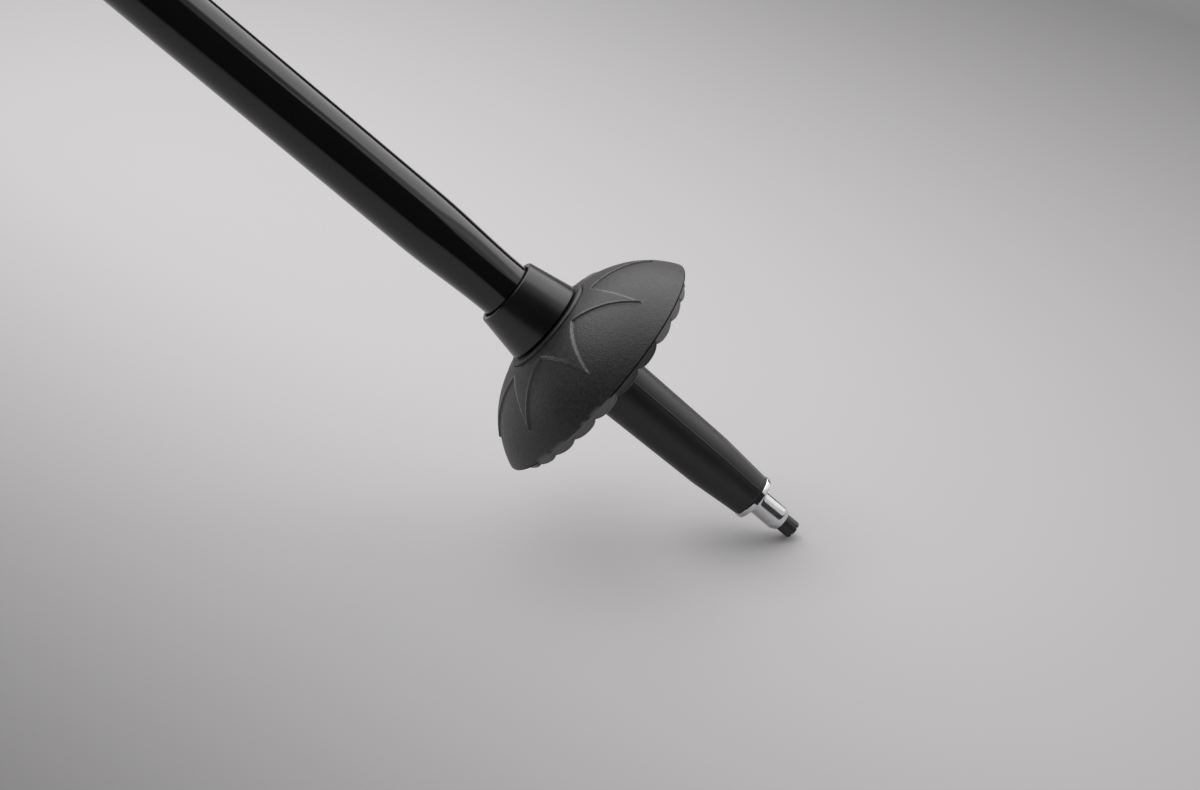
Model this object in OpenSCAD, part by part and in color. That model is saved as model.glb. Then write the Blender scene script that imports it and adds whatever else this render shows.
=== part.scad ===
// Nordic walking pole, two tubes with a lever lock. The tip stands at the origin and the pole runs up +Z.
// Walking direction is +X, so the strap hangs behind the grip on -X.

/* [Pole] */
// Length from the tip to the top of the button, at the middle setting
pole_length = 1150; // [1120:5:1200]
// Height of the mouth of the upper tube above the tip
upper_mouth_z = 620; // [560:5:640]
// How far the upper tube can still slide out
extend_travel = 150; // [60:5:150]
// Length of lower tube that stays inside at the longest setting
min_overlap = 80; // [60:5:100]

/* [Tip insert] */
// Diameter of the carbide insert
tip_d = 4.6; // [4:0.1:5]
// Length of insert outside the ferrule
tip_exposed = 3.9; // [3:0.1:5]
// Length of insert held in the ferrule
tip_seated = 6; // [4:0.5:8]
// Number of teeth on the crown
crown_teeth = 6; // [4:2:8]
// Depth of the hollow inside the crown
crown_depth = 0.9; // [0.5:0.1:1.2]
// Width of the gaps between teeth
crown_gap = 0.7; // [0.5:0.1:0.9]

/* [Ferrule] */
// Diameter of the ferrule's straight part
ferrule_d = 6.5; // [6:0.1:7]
// Length from the insert to the flange
ferrule_len = 9; // [7:0.5:11]
// Diameter of the bead at the insert end
bead_d = 6; // [5.6:0.1:6.2]
// Length of the bead
bead_len = 0.9; // [0.6:0.1:1.2]
// Diameter of the flange
flange_d = 12; // [11.8:0.1:12.4]
// Thickness of the flange
flange_t = 1.3; // [1:0.1:1.6]
// Diameter of the stem inside the holder
stem_d = 6; // [5:0.1:6]
// Length of the stem inside the holder
stem_len = 18; // [12:1:24]

/* [Tip holder] */
// Diameter at the flange end of the sleeve
sleeve_end_d = 11.7; // [11.4:0.1:11.8]
// Diameter where the short taper starts
sleeve_low_d = 12.05; // [11.9:0.05:12.3]
// Length from the flange to the short taper
sleeve_low_len = 3.2; // [2:0.2:5]
// Diameter where the long taper starts
sleeve_mid_d = 13.6; // [13:0.1:14]
// Length of the short taper
sleeve_mid_len = 10; // [8:0.5:12]
// Diameter of the sleeve under the basket
sleeve_top_d = 15.05; // [14.6:0.05:15.6]
// Length of the long taper
sleeve_top_len = 33; // [28:1:36]
// Diameter of the core inside the basket
core_d = 18; // [17.6:0.1:18.6]
// Diameter of the collar where it meets the basket
collar_base_d = 21.9; // [21:0.1:23]
// Diameter of the collar at its mouth
collar_mouth_d = 17.7; // [17.2:0.1:18.4]
// Height of the collar
collar_h = 12; // [10:0.5:14]
// Depth of the socket for the tube, from the mouth
socket_depth = 26; // [20:1:27]
// Widening of the mouth round the tube
mouth_gap = 0.45; // [0.3:0.05:0.6]
// Number of claws that pass through the flange
claw_count = 3; // [2:1:4]
// Width of a claw
claw_w = 3.2; // [2.6:0.1:3.6]
// Radial thickness of a claw
claw_t = 1; // [0.8:0.1:1.2]
// Turn of the first claw from the front of the pole's side face
claw_turn = 6.5; // [0:0.5:60]
// Turn of the two flats near the sleeve's end
flat_turn = 80; // [60:1:90]
// Depth of the flats at the sleeve's end
flat_depth = 0.4; // [0.3:0.05:0.7]
// Length of the flats
flat_len = 16; // [12:0.5:18]

/* [Basket] */
// Diameter over the rim
basket_d = 64; // [58:0.5:70]
// Height of the rim above the foot of the hub
rim_rise = 0.5; // [0:0.1:1.5]
// Height of the hub, from its foot to the bead
hub_h = 17.2; // [16:0.2:19]
// Diameter of the hub
hub_d = 23.2; // [22.6:0.1:24]
// Diameter where the dome meets the bead
neck_d = 25.2; // [24.8:0.1:26]
// Rise of the dome above the straight line from neck to rim
dome_sag = 3.3; // [2.4:0.1:4]
// Thickness of the dome
dome_wall = 2; // [1.6:0.1:2.4]
// Radius of the rim's edge
rim_round = 0.5; // [0.4:0.1:1]
// Width of the flat under the rim
rim_land = 2.4; // [2:0.1:3]
// Thickness of the bead round the neck
neck_bead = 1.2; // [0.8:0.1:1.6]
// Number of points of the raised star
star_points = 8; // [6:1:10]
// Radius of the star's points
star_outer_r = 27.8; // [26:0.1:28.5]
// Radius of the valleys between the points
star_inner_r = 15; // [14:0.1:17]
// Bow of the star's edges, as the angle between chord and edge
star_bow = 5; // [2:1:12]
// How far the star's points are blunted
star_blunt = 0.05; // [0.05:0.05:0.4]
// Height of the star above the dome
star_h = 0.4; // [0.2:0.05:0.6]
// Turn of one star point from the side face
star_turn = -5; // [-22:1:22]
// Number of lobes under the rim
lobe_count = 24; // [18:1:28]
// Radius of a lobe's round underside
lobe_r = 5.2; // [4.8:0.1:6]
// How far the lobes reach below the rim's edge
lobe_drop = 1.7; // [1.2:0.1:2.2]
// Distance of the lobes from the rim's outside
lobe_inset = 0.8; // [0.6:0.1:1.6]
// Length of a lobe towards the hub
lobe_len = 8; // [5:0.5:10]
// Number of webs between hub and rim
web_count = 8; // [6:1:12]
// Thickness of a web
web_t = 1.5; // [1.2:0.1:2]
// Width of the two bayonet lugs
lug_w = 7; // [5:0.5:9]
// Height of the bayonet lugs
lug_h = 1.8; // [1.4:0.1:2.4]
// How far the lugs stand out of the core
lug_t = 1.2; // [0.8:0.1:1.4]

/* [Lower tube] */
// Diameter of the lower tube
lower_d = 16; // [15.8:0.1:16.2]
// Wall of the lower tube
lower_wall = 0.9; // [0.7:0.05:1.2]
// Diameter of the swaged end
swage_d = 14.3; // [14:0.1:14.6]
// Length of the swage's taper
swage_len = 26; // [20:1:32]

/* [Guide bush] */
// Length of the bush that runs in the upper tube
bush_head_len = 12; // [8:1:16]
// Length of the bush inside the lower tube
bush_spigot_len = 20; // [14:1:26]
// Bore through the bush
bush_bore_d = 9; // [6:0.5:11]

/* [Upper tube] */
// Diameter of the upper tube
upper_d = 18.5; // [18.4:0.1:18.8]
// Wall of the upper tube
upper_wall = 0.75; // [0.65:0.05:0.8]

/* [Lock] */
// Wall of the clamp round the liner
clamp_wall = 2.1; // [1.9:0.1:2.4]
// Wall of the liner
liner_wall = 1.05; // [0.9:0.05:1.2]
// Height of the clamp below the upper tube's mouth
clamp_low_h = 26; // [24:1:30]
// Height of the clamp on the upper tube
clamp_top_h = 16; // [12:1:20]
// Width of the slit between the ears
slit_w = 2.2; // [1.8:0.1:2.6]
// Thickness of an ear
ear_t = 3.1; // [2.6:0.1:3.4]
// Height of the ears
ear_h = 16; // [14:0.5:18]
// Distance of the screw from the pole's axis
screw_x = 14.8; // [14.6:0.1:15.6]
// Diameter of the screw
screw_d = 3; // [2.8:0.1:3.4]
// Diameter of the lever's pin
pin_d = 4.6; // [4.4:0.1:4.8]
// Radius of the lever's cam
cam_r = 3.8; // [3.6:0.1:4.2]
// Offset of the cam from the pin
cam_offset = 0.5; // [0.3:0.05:0.6]
// Thickness of the plate under the cam
seat_t = 0.8; // [0.6:0.1:1.2]
// Height of the lever
lever_h = 15; // [13:0.5:17]
// Thickness of the lever's arm
lever_t = 2.7; // [2.2:0.1:3.2]
// Angle that the arm reaches round the clamp
lever_reach = 92; // [70:1:110]
// Diameter of the thumb nut
nut_d = 8; // [7:0.1:8.2]
// Thickness of the thumb nut
nut_h = 5.5; // [4:0.5:7]
// Number of grooves round the thumb nut
nut_grooves = 16; // [10:1:20]

/* [Grip] */
// Height of the grip's soft body
grip_h = 124; // [115:1:130]
// Height of the hard ring under the grip
grip_ring_h = 9; // [6:0.5:12]
// Diameter of the hard ring
grip_ring_d = 29; // [28:0.5:30]
// Wall of the sleeve inside the grip
core_wall = 1.7; // [1.4:0.1:2]
// Height of the grip's head
head_h = 35.5; // [34:0.5:37]
// Height of the button above the head
button_rise = 2.5; // [2:0.1:3]
// Diameter of the button
button_d = 14; // [12:0.5:15]
// Travel of the button
button_travel = 3; // [2.6:0.1:3]
// Diameter of the stem that locks the tongue
latch_d = 5; // [4.6:0.1:5.4]
// Diameter of the stem's neck
latch_neck_d = 3; // [2.6:0.1:3.2]
// Outer diameter of the button's spring
spring_d = 10; // [9:0.5:11]
// Diameter of the spring wire
spring_wire = 0.8; // [0.6:0.1:1]
// Curls of the button's spring
spring_curls = 5; // [4:1:7]

/* [Strap] */
// Thickness of the tongue in the head
tongue_t = 2.2; // [2:0.1:2.4]
// Width of the tongue
tongue_w = 10; // [9.5:0.5:11]
// Distance of the link's pin behind the pole's axis
link_x = 27; // [26.5:0.5:30]
// Diameter of the link's pin
link_pin_d = 2.5; // [2:0.1:3]
// Diameter of the knuckles round the pin
knuckle_d = 6; // [5.5:0.1:6.5]
// Width of the plug's knuckle
plug_w = 8; // [7:0.5:9]
// Width of the webbing
web_strap_w = 20; // [16:1:24]
// Thickness of the webbing
web_strap_t = 1.6; // [1.2:0.1:2]
// Diameter of the link's bars
link_bar_d = 3.2; // [2.8:0.1:3.6]
// Distance from the link's pin to its lower bar
link_drop = 13; // [11:0.5:16]
// Distance of the sling's middle behind the pole's axis
sling_x = 55; // [54:1:60]
// Half the width of the sling
sling_half_w = 36; // [30:1:42]
// Half the depth of the sling
sling_half_d = 18; // [15:0.5:19]
// Thickness of the padded panel
panel_t = 3; // [2:0.2:3.4]
// Thickness of the bands
band_t = 1.8; // [1.4:0.1:2.4]
// Height of the padded panel
panel_h = 88; // [76:2:96]
// Height of the band over the back of the hand
back_band_h = 38; // [30:1:44]
// Height of the wrist band
wrist_band_h = 26; // [20:1:30]

/* [Hidden] */
$fn = 72;

// Clearances, each named once for the pieces on both sides of it
glue_gap = 0.02;
run_gap = 0.05;
free_gap = 0.3;
over = 1;
chamfer = 0.4;

// Heights along the pole
tip_top_z = tip_exposed + tip_seated;
flange_z = tip_exposed + ferrule_len;
sleeve_z = flange_z + flange_t;
stem_top_z = sleeve_z + stem_len;
sleeve_low_z = sleeve_z + sleeve_low_len;
sleeve_mid_z = sleeve_low_z + sleeve_mid_len;
sleeve_top_z = sleeve_mid_z + sleeve_top_len;
core_z = sleeve_top_z + (core_d - sleeve_top_d) / 2;
lug_z = core_z;
hub_z = lug_z + lug_h + free_gap / 2;
hub_top_z = hub_z + hub_h;
collar_z = hub_top_z + free_gap + 0.1;
mouth_z = collar_z + collar_h;
socket_z = mouth_z - socket_depth;
lower_top_z = upper_mouth_z + extend_travel + min_overlap;

// Radii that several pieces share
core_r = core_d / 2;
socket_r = swage_d / 2 + glue_gap;
upper_bore_r = upper_d / 2 - upper_wall;
liner_r = lower_d / 2 + run_gap;
liner_out_r = liner_r + liner_wall;
clamp_r = liner_out_r + clamp_wall;

// Lock
lock_low_z = upper_mouth_z - clamp_low_h;
lock_top_z = upper_mouth_z + clamp_top_h;
lip_h = 2;
lock_mid_z = lock_low_z + (clamp_low_h - lip_h) / 2 - 1;
ear_y = slit_w / 2 + ear_t;
seat_y = ear_y + seat_t;
pin_y = seat_y + run_gap + cam_r + cam_offset;
arm_r = clamp_r + 0.5;
nut_y = ear_y + free_gap;

// Grip
head_top_z = pole_length - button_rise;
head_z = head_top_z - head_h;
grip_z = head_z - grip_h;
upper_top_z = head_z;
grip_core_r = upper_d / 2 + glue_gap + core_wall;
core_top_z = head_z + 6;
tongue_z = head_z + 11;
latch_top_z = tongue_z + tongue_t + (button_travel - tongue_t) / 2;
latch_low_z = latch_top_z - button_travel;
well_z = latch_low_z - button_travel - free_gap;
pocket_z = tongue_z + tongue_t + 4;
cap_t = 4;
cap_low_z = pole_length - cap_t - button_travel;

// Stations of the soft grip: height share, half depth, half width, shift forward
GRIP = [
    [0.00, 15.6, 15.0, 0.0], [0.05, 16.2, 15.4, 0.0], [0.14, 14.4, 13.9, 0.2], [0.32, 15.4, 13.8, 0.8],
    [0.50, 17.2, 14.7, 1.2], [0.68, 16.2, 14.0, 0.9], [0.86, 14.3, 13.0, 0.1], [1.00, 15.2, 13.5, -0.5]
];
// Stations of the head, in the same form
HEAD = [
    [0.00, 15.2, 13.5, -0.5], [0.25, 17.4, 14.8, 0.4], [0.52, 19.8, 16.4, 1.8], [0.76, 20.4, 16.8, 2.6],
    [0.91, 18.6, 15.2, 2.6], [1.00, 14.4, 11.4, 2.2]
];
grip_sides = 32;
grip_rings = 18;
head_rings = 12;

function angle_of(centre, point) = atan2(point[1] - centre[1], point[0] - centre[0]);
function arc(centre, r, a0, a1, n) =
    [for (i = [0:n]) let (a = a0 + (a1 - a0) * i / n) [centre[0] + r * cos(a), centre[1] + r * sin(a)]];

// Smooth value of column k of a station list at share t
function station(list, t, i = 0) = (i >= len(list) - 2 || t <= list[i + 1][0]) ? i : station(list, t, i + 1);
function slope(list, i, k) =
    let (a = max(i - 1, 0), b = min(i + 1, len(list) - 1)) (list[b][k] - list[a][k]) / (list[b][0] - list[a][0]);
function smooth(list, t, k) =
    let (i = station(list, t), h = list[i + 1][0] - list[i][0], u = (t - list[i][0]) / h)
    (2 * u ^ 3 - 3 * u ^ 2 + 1) * list[i][k] + (u ^ 3 - 2 * u ^ 2 + u) * h * slope(list, i, k)
    + (3 * u ^ 2 - 2 * u ^ 3) * list[i + 1][k] + (u ^ 3 - u ^ 2) * h * slope(list, i + 1, k);
function station_ring(list, t, z) =
    [for (i = [0:grip_sides - 1]) let (a = 360 * i / grip_sides)
        [smooth(list, t, 3) + smooth(list, t, 1) * cos(a), smooth(list, t, 2) * sin(a), z]];

// Closed solid through rings of equally many points, lowest ring first
module loft(rings) {
    n = len(rings[0]);
    m = len(rings);
    polyhedron(
        points = [for (ring = rings) each ring],
        faces = concat(
            [[for (i = [0:n - 1]) i]],
            [for (j = [0:m - 2], i = [0:n - 1])
                each [[j * n + i, (j + 1) * n + i, (j + 1) * n + (i + 1) % n],
                      [j * n + i, (j + 1) * n + (i + 1) % n, j * n + (i + 1) % n]]],
            [[for (i = [n - 1:-1:0]) (m - 1) * n + i]]
        )
    );
}

// Solid between two grids of points that lie one over the other
module slab(front, back) {
    m = len(front);
    n = len(front[0]);
    size = m * n;
    edge = concat(
        [for (i = [0:n - 2]) [i, i + 1]],
        [for (j = [0:m - 2]) [j * n + n - 1, (j + 1) * n + n - 1]],
        [for (i = [n - 2:-1:0]) [(m - 1) * n + i + 1, (m - 1) * n + i]],
        [for (j = [m - 2:-1:0]) [(j + 1) * n, j * n]]
    );
    polyhedron(
        points = concat([for (row = front) each row], [for (row = back) each row]),
        faces = concat(
            [for (j = [0:m - 2], i = [0:n - 2]) let (a = j * n + i)
                each [[a, a + n, a + n + 1], [a, a + n + 1, a + 1]]],
            [for (j = [0:m - 2], i = [0:n - 2]) let (a = size + j * n + i)
                each [[a, a + n + 1, a + n], [a, a + 1, a + n + 1]]],
            [for (e = edge) each [[e[0], e[1], size + e[1]], [e[0], size + e[1], size + e[0]]]]
        )
    );
}

// Cylinder along +Y
module rod_y(r, y0, y1) {
    translate([0, y0, 0]) rotate([-90, 0, 0]) cylinder(r = r, h = y1 - y0);
}

module carbide_tip() {
    teeth_cut = 2 * crown_depth;
    color([0.08, 0.08, 0.09])
        difference() {
            rotate_extrude()
                polygon([[0, 0], [tip_d / 2 - chamfer / 2, 0], [tip_d / 2, chamfer / 2],
                         [tip_d / 2, tip_top_z], [0, tip_top_z]]);
            translate([0, 0, -over / 2])
                cylinder(r1 = tip_d / 2 - chamfer, r2 = chamfer, h = crown_depth + over / 2);
            for (i = [0:crown_teeth / 2 - 1])
                rotate(i * 360 / crown_teeth)
                    cube([tip_d + over, crown_gap, teeth_cut], center = true);
        }
}

module tip_ferrule() {
    r = ferrule_d / 2;
    bead_r = bead_d / 2;
    seat_r = tip_d / 2 + glue_gap;
    fillet = 0.6;
    color([0.82, 0.83, 0.85])
        difference() {
            rotate_extrude()
                polygon([
                    [seat_r, tip_exposed], [bead_r - chamfer, tip_exposed], [bead_r, tip_exposed + chamfer],
                    [bead_r, tip_exposed + bead_len], [r, tip_exposed + bead_len],
                    each arc([r + fillet, flange_z - fillet], fillet, 180, 90, 5),
                    [flange_d / 2 - chamfer / 2, flange_z], [flange_d / 2, flange_z + chamfer / 2],
                    [flange_d / 2, sleeve_z], [stem_d / 2, sleeve_z], [stem_d / 2, stem_top_z - chamfer],
                    [stem_d / 2 - chamfer, stem_top_z], [0, stem_top_z], [0, tip_top_z], [seat_r, tip_top_z]
                ]);
            at_claws()
                translate([sleeve_end_d / 2 - claw_t - glue_gap, -claw_w / 2 - glue_gap, flange_z - over])
                    cube([flange_d, claw_w + 2 * glue_gap, flange_t + 2 * over]);
        }
}

module at_claws() {
    for (i = [0:claw_count - 1])
        rotate(claw_turn - 90 + i * 360 / claw_count)
            children();
}

module tip_holder() {
    end_r = sleeve_end_d / 2;
    bore_r = stem_d / 2 + glue_gap;
    claw_r = end_r - chamfer / 2;
    lip = 0.35;
    flat_tilt = atan((sleeve_mid_d / 2 - end_r + flat_depth) / flat_len);
    color([0.10, 0.10, 0.11])
        difference() {
            union() {
                rotate_extrude()
                    polygon([
                        [bore_r, sleeve_z], [end_r - chamfer, sleeve_z], [end_r, sleeve_z + chamfer],
                        [sleeve_low_d / 2, sleeve_low_z], [sleeve_mid_d / 2, sleeve_mid_z],
                        [sleeve_top_d / 2, sleeve_top_z], [core_r, core_z], [core_r, collar_z],
                        each arc([collar_base_d / 2 - lip, collar_z + lip], lip, -90, 0, 4),
                        each arc([collar_mouth_d / 2 - lip, mouth_z - lip], lip, 10, 90, 4),
                        each arc([socket_r + mouth_gap + lip, mouth_z - lip], lip, 90, 180, 4),
                        [socket_r + mouth_gap, mouth_z - over], [socket_r, mouth_z - 2 * over],
                        [socket_r, socket_z], [0, socket_z], [0, stem_top_z], [bore_r, stem_top_z]
                    ]);
                for (turn = [0, 180])
                    rotate(turn) bayonet_lug(lug_w, core_r + lug_t, lug_z, lug_h);
                at_claws()
                    intersection() {
                        translate([end_r - claw_t, -claw_w / 2, flange_z])
                            cube([claw_t, claw_w, flange_t + over]);
                        translate([0, 0, flange_z]) cylinder(r = claw_r, h = flange_t + over);
                    }
            }
            for (turn = [0, 180])
                rotate(flat_turn - 90 + turn)
                    translate([end_r - flat_depth, 0, sleeve_z])
                        rotate([0, flat_tilt, 0])
                            translate([0, -end_r, -flange_t - over])
                                cube([end_r, 2 * end_r, flat_len + flange_t + 3 * over]);
        }
}

// Lug, or the slot that a lug passes through
module bayonet_lug(w, r, z, h) {
    intersection() {
        translate([core_r - over, -w / 2, z]) cube([r, w, h]);
        translate([0, 0, z]) cylinder(r = r, h = h);
    }
}

// The dome's arc runs from the neck to the rim with a given rise over its chord
rim_r = basket_d / 2;
rim_z = hub_z + rim_rise;
neck_pt = [neck_d / 2, hub_top_z - neck_bead];
rim_pt = [rim_r, rim_z];
chord = norm(rim_pt - neck_pt);
dome_r = (chord ^ 2 / 4 + dome_sag ^ 2) / (2 * dome_sag);
chord_dir = (rim_pt - neck_pt) / chord;
dome_c = (neck_pt + rim_pt) / 2 - (dome_r - dome_sag) * [-chord_dir[1], chord_dir[0]];
rim_a = angle_of(dome_c, rim_pt);
neck_a = angle_of(dome_c, neck_pt);
inner_r = dome_r - dome_wall;
lobe_out_r = rim_r - lobe_inset;
lobe_in_r = lobe_out_r - lobe_len;
rim_low_z = rim_z - rim_round;
lobe_low_z = rim_low_z - lobe_drop;
dome_steps = 10;
inner_steps = 6;

function dome_angle(r, at) = acos((at - dome_c[0]) / r);
function dome_z(r, at) = dome_c[1] + r * sin(dome_angle(r, at));

module basket() {
    color([0.16, 0.16, 0.17])
        difference() {
            union() {
                basket_shell();
                basket_star();
                basket_lobes();
                basket_webs();
            }
            translate([0, 0, hub_z - over])
                cylinder(r = core_r + run_gap, h = hub_h + 2 * over);
            for (turn = [90, 270])
                rotate(turn) bayonet_lug(lug_w + 2 * free_gap, core_r + lug_t + free_gap, hub_z - over, hub_h + 2 * over);
        }
}

module basket_shell() {
    bead_r = neck_bead / 2;
    land_r = rim_r - rim_land;
    rotate_extrude()
        polygon([
            [core_r, hub_z], [hub_d / 2, hub_z], [hub_d / 2, dome_z(inner_r, hub_d / 2)],
            each arc(dome_c, inner_r, dome_angle(inner_r, hub_d / 2) - 2, dome_angle(inner_r, land_r), inner_steps),
            [land_r, rim_low_z],
            each arc([rim_r - rim_round, rim_z], rim_round, -90, 0, 4),
            each arc(dome_c, dome_r, rim_a, neck_a, dome_steps),
            [hub_d / 2 + bead_r / 2, neck_pt[1] - bead_r / 4],
            each arc([hub_d / 2, hub_top_z - bead_r], bead_r, -60, 90, 5),
            [core_r, hub_top_z]
        ]);
}

// Edges of the star are arcs that meet in pointed arches
module star_outline() {
    half = 180 / star_points;
    tip = [star_outer_r * cos(half) - star_inner_r, star_outer_r * sin(half)];
    edge_r = norm(tip) / (2 * sin(star_bow));
    heading = atan2(tip[1], tip[0]) + star_bow;
    difference() {
        circle(r = star_outer_r - star_blunt);
        for (i = [0:star_points - 1])
            rotate(half + i * 2 * half)
                translate([star_inner_r, 0])
                    intersection_for(side = [-1, 1])
                        translate([edge_r * sin(heading), side * edge_r * cos(heading)]) circle(r = edge_r);
    }
}

module basket_star() {
    top_r = dome_r + star_h;
    low_r = dome_r - dome_wall / 2;
    outer_a = dome_angle(top_r, star_outer_r + over);
    intersection() {
        rotate_extrude()
            polygon([
                each arc(dome_c, top_r, outer_a, neck_a - 1, dome_steps),
                each arc(dome_c, low_r, neck_a - 1, outer_a, dome_steps / 2)
            ]);
        translate([0, 0, rim_z])
            linear_extrude(height = hub_h)
                rotate(star_turn - 90) star_outline();
    }
}

module basket_lobes() {
    mid_r = dome_r - dome_wall / 2;
    intersection() {
        for (i = [0:lobe_count - 1])
            rotate((i + 0.5) * 360 / lobe_count + star_turn)
                translate([lobe_in_r - over, 0, lobe_low_z + lobe_r])
                    rotate([0, 90, 0]) cylinder(r = lobe_r, h = lobe_len + 2 * over);
        rotate_extrude()
            polygon([
                [lobe_in_r, lobe_low_z - over], [lobe_out_r, lobe_low_z - over],
                each arc(dome_c, mid_r, dome_angle(mid_r, lobe_out_r), dome_angle(mid_r, lobe_in_r), 2)
            ]);
    }
}

module basket_webs() {
    mid_r = dome_r - dome_wall / 2;
    foot_r = hub_d / 2 - over;
    end_r = (lobe_in_r + lobe_out_r) / 2;
    intersection() {
        for (i = [0:web_count - 1])
            rotate(star_turn + i * 360 / web_count)
                translate([0, -web_t / 2, 0]) cube([rim_r, web_t, hub_top_z]);
        rotate_extrude()
            polygon([
                [foot_r, hub_z + over], [end_r, rim_z],
                each arc(dome_c, mid_r, dome_angle(mid_r, end_r), dome_angle(mid_r, foot_r), 5)
            ]);
    }
}

module lower_tube() {
    r = lower_d / 2;
    end_r = swage_d / 2;
    start_z = mouth_z + over;
    steps = 12;
    swage = [for (i = [0:steps]) [end_r + (r - end_r) * (1 - cos(180 * i / steps)) / 2, start_z + swage_len * i / steps]];
    floor_z = socket_z + free_gap;
    color([0.06, 0.06, 0.07])
        rotate_extrude()
            polygon([
                [end_r - lower_wall, floor_z], [end_r, floor_z], each swage,
                [r, lower_top_z], [r - lower_wall, lower_top_z],
                each [for (i = [steps:-1:0]) swage[i] - [lower_wall, 0]]
            ]);
}

module guide_bush() {
    head_r = upper_bore_r - run_gap;
    spigot_r = lower_d / 2 - lower_wall - glue_gap;
    bore_r = bush_bore_d / 2;
    top_z = lower_top_z + bush_head_len;
    groove = 0.8;
    color([0.75, 0.74, 0.70])
        difference() {
            rotate_extrude()
                polygon([
                    [bore_r, lower_top_z - bush_spigot_len], [spigot_r - chamfer, lower_top_z - bush_spigot_len],
                    [spigot_r, lower_top_z - bush_spigot_len + chamfer], [spigot_r, lower_top_z],
                    [head_r - chamfer, lower_top_z], [head_r, lower_top_z + chamfer],
                    [head_r, top_z - chamfer], [head_r - chamfer, top_z], [bore_r, top_z]
                ]);
            for (i = [0:3])
                rotate(i * 90)
                    translate([head_r - groove, -groove, lower_top_z - over])
                        cube([2 * groove, 2 * groove, bush_head_len + 2 * over]);
        }
}

module upper_tube() {
    color([0.06, 0.06, 0.07])
        difference() {
            translate([0, 0, upper_mouth_z]) cylinder(d = upper_d, h = upper_top_z - upper_mouth_z);
            translate([0, 0, upper_mouth_z - over]) cylinder(r = upper_bore_r, h = upper_top_z - upper_mouth_z + 2 * over);
        }
}

module clamp_body() {
    top_r = upper_d / 2 + glue_gap + clamp_wall;
    bore_low_z = lock_low_z + lip_h;
    relief_z = upper_mouth_z - 2 * lip_h;
    relief_h = 1.2;
    ear_out = screw_x + ear_t;
    round_r = 0.8;
    color([0.09, 0.09, 0.10])
        difference() {
            union() {
                rotate_extrude()
                    polygon([
                        [lower_d / 2 + free_gap, lock_low_z], [clamp_r - round_r, lock_low_z],
                        each arc([clamp_r - round_r, lock_low_z + round_r], round_r, -90, 0, 4),
                        [clamp_r, lock_top_z - clamp_top_h / 2], [top_r, lock_top_z - clamp_top_h / 2 + over],
                        each arc([top_r - round_r, lock_top_z - round_r], round_r, 0, 90, 4),
                        [upper_d / 2 + glue_gap, lock_top_z], [upper_d / 2 + glue_gap, upper_mouth_z],
                        [lower_d / 2 + free_gap, upper_mouth_z], [lower_d / 2 + free_gap, upper_mouth_z - lip_h],
                        [liner_out_r + glue_gap, upper_mouth_z - lip_h], [liner_out_r + glue_gap, bore_low_z],
                        [lower_d / 2 + free_gap, bore_low_z]
                    ]);
                difference() {
                    translate([-ear_out, -ear_y, lock_mid_z - ear_h / 2]) cube([ear_out, 2 * ear_y, ear_h]);
                    translate([0, 0, lock_mid_z - ear_h]) cylinder(r = liner_out_r + clamp_wall / 2, h = 2 * ear_h);
                }
            }
            translate([-ear_out - over, -slit_w / 2, lock_low_z - over])
                cube([ear_out + over - lower_d / 4, slit_w, relief_z - lock_low_z + over]);
            translate([-ear_out - over, -2 * clamp_r, relief_z - relief_h])
                cube([ear_out + over - lower_d / 4, 4 * clamp_r, relief_h]);
            translate([-screw_x, 0, lock_mid_z])
                rod_y(screw_d / 2 + free_gap, -ear_y - over, ear_y + over);
        }
}

module clamp_liner() {
    low_z = lock_low_z + lip_h + glue_gap;
    high_z = upper_mouth_z - lip_h - glue_gap;
    color([0.30, 0.30, 0.31])
        difference() {
            translate([0, 0, low_z]) cylinder(r = liner_out_r, h = high_z - low_z);
            translate([0, 0, low_z - over]) cylinder(r = liner_r, h = high_z - low_z + 2 * over);
            translate([-clamp_r - over, -slit_w / 2, low_z - over])
                cube([clamp_r + over - lower_d / 4, slit_w, high_z - low_z + 2 * over]);
        }
}

module cam_seat() {
    color([0.70, 0.71, 0.73])
        difference() {
            translate([-screw_x - cam_r, ear_y, lock_mid_z - lever_h / 2]) cube([2 * cam_r, seat_t, lever_h]);
            translate([-screw_x, 0, lock_mid_z]) rod_y(screw_d / 2 + free_gap, ear_y - over, seat_y + over);
        }
}

module cross_pin() {
    color([0.70, 0.71, 0.73])
        difference() {
            translate([-screw_x, pin_y, lock_mid_z - lever_h / 2])
                cylinder(d = pin_d, h = lever_h);
            translate([-screw_x, 0, lock_mid_z]) rod_y(screw_d / 2 + glue_gap, pin_y - pin_d, pin_y + pin_d);
        }
}

module tension_screw() {
    color([0.70, 0.71, 0.73])
        translate([-screw_x, 0, lock_mid_z])
            rod_y(screw_d / 2, -nut_y - nut_h - over, pin_y + pin_d / 2 - chamfer);
}

module tension_nut() {
    groove_r = 0.5;
    color([0.62, 0.63, 0.65])
        translate([-screw_x, 0, lock_mid_z])
            difference() {
                union() {
                    rod_y(nut_d / 2, -nut_y - nut_h + chamfer, -nut_y - chamfer);
                    rod_y(nut_d / 2 - chamfer, -nut_y - nut_h, -nut_y);
                }
                rod_y(screw_d / 2 + run_gap, -nut_y - nut_h - over, -nut_y + over);
                for (i = [0:nut_grooves - 1])
                    rotate([0, i * 360 / nut_grooves, 0])
                        translate([nut_d / 2 + groove_r / 3, 0, 0])
                            rod_y(groove_r, -nut_y - nut_h - over, -nut_y + over);
            }
}

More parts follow.
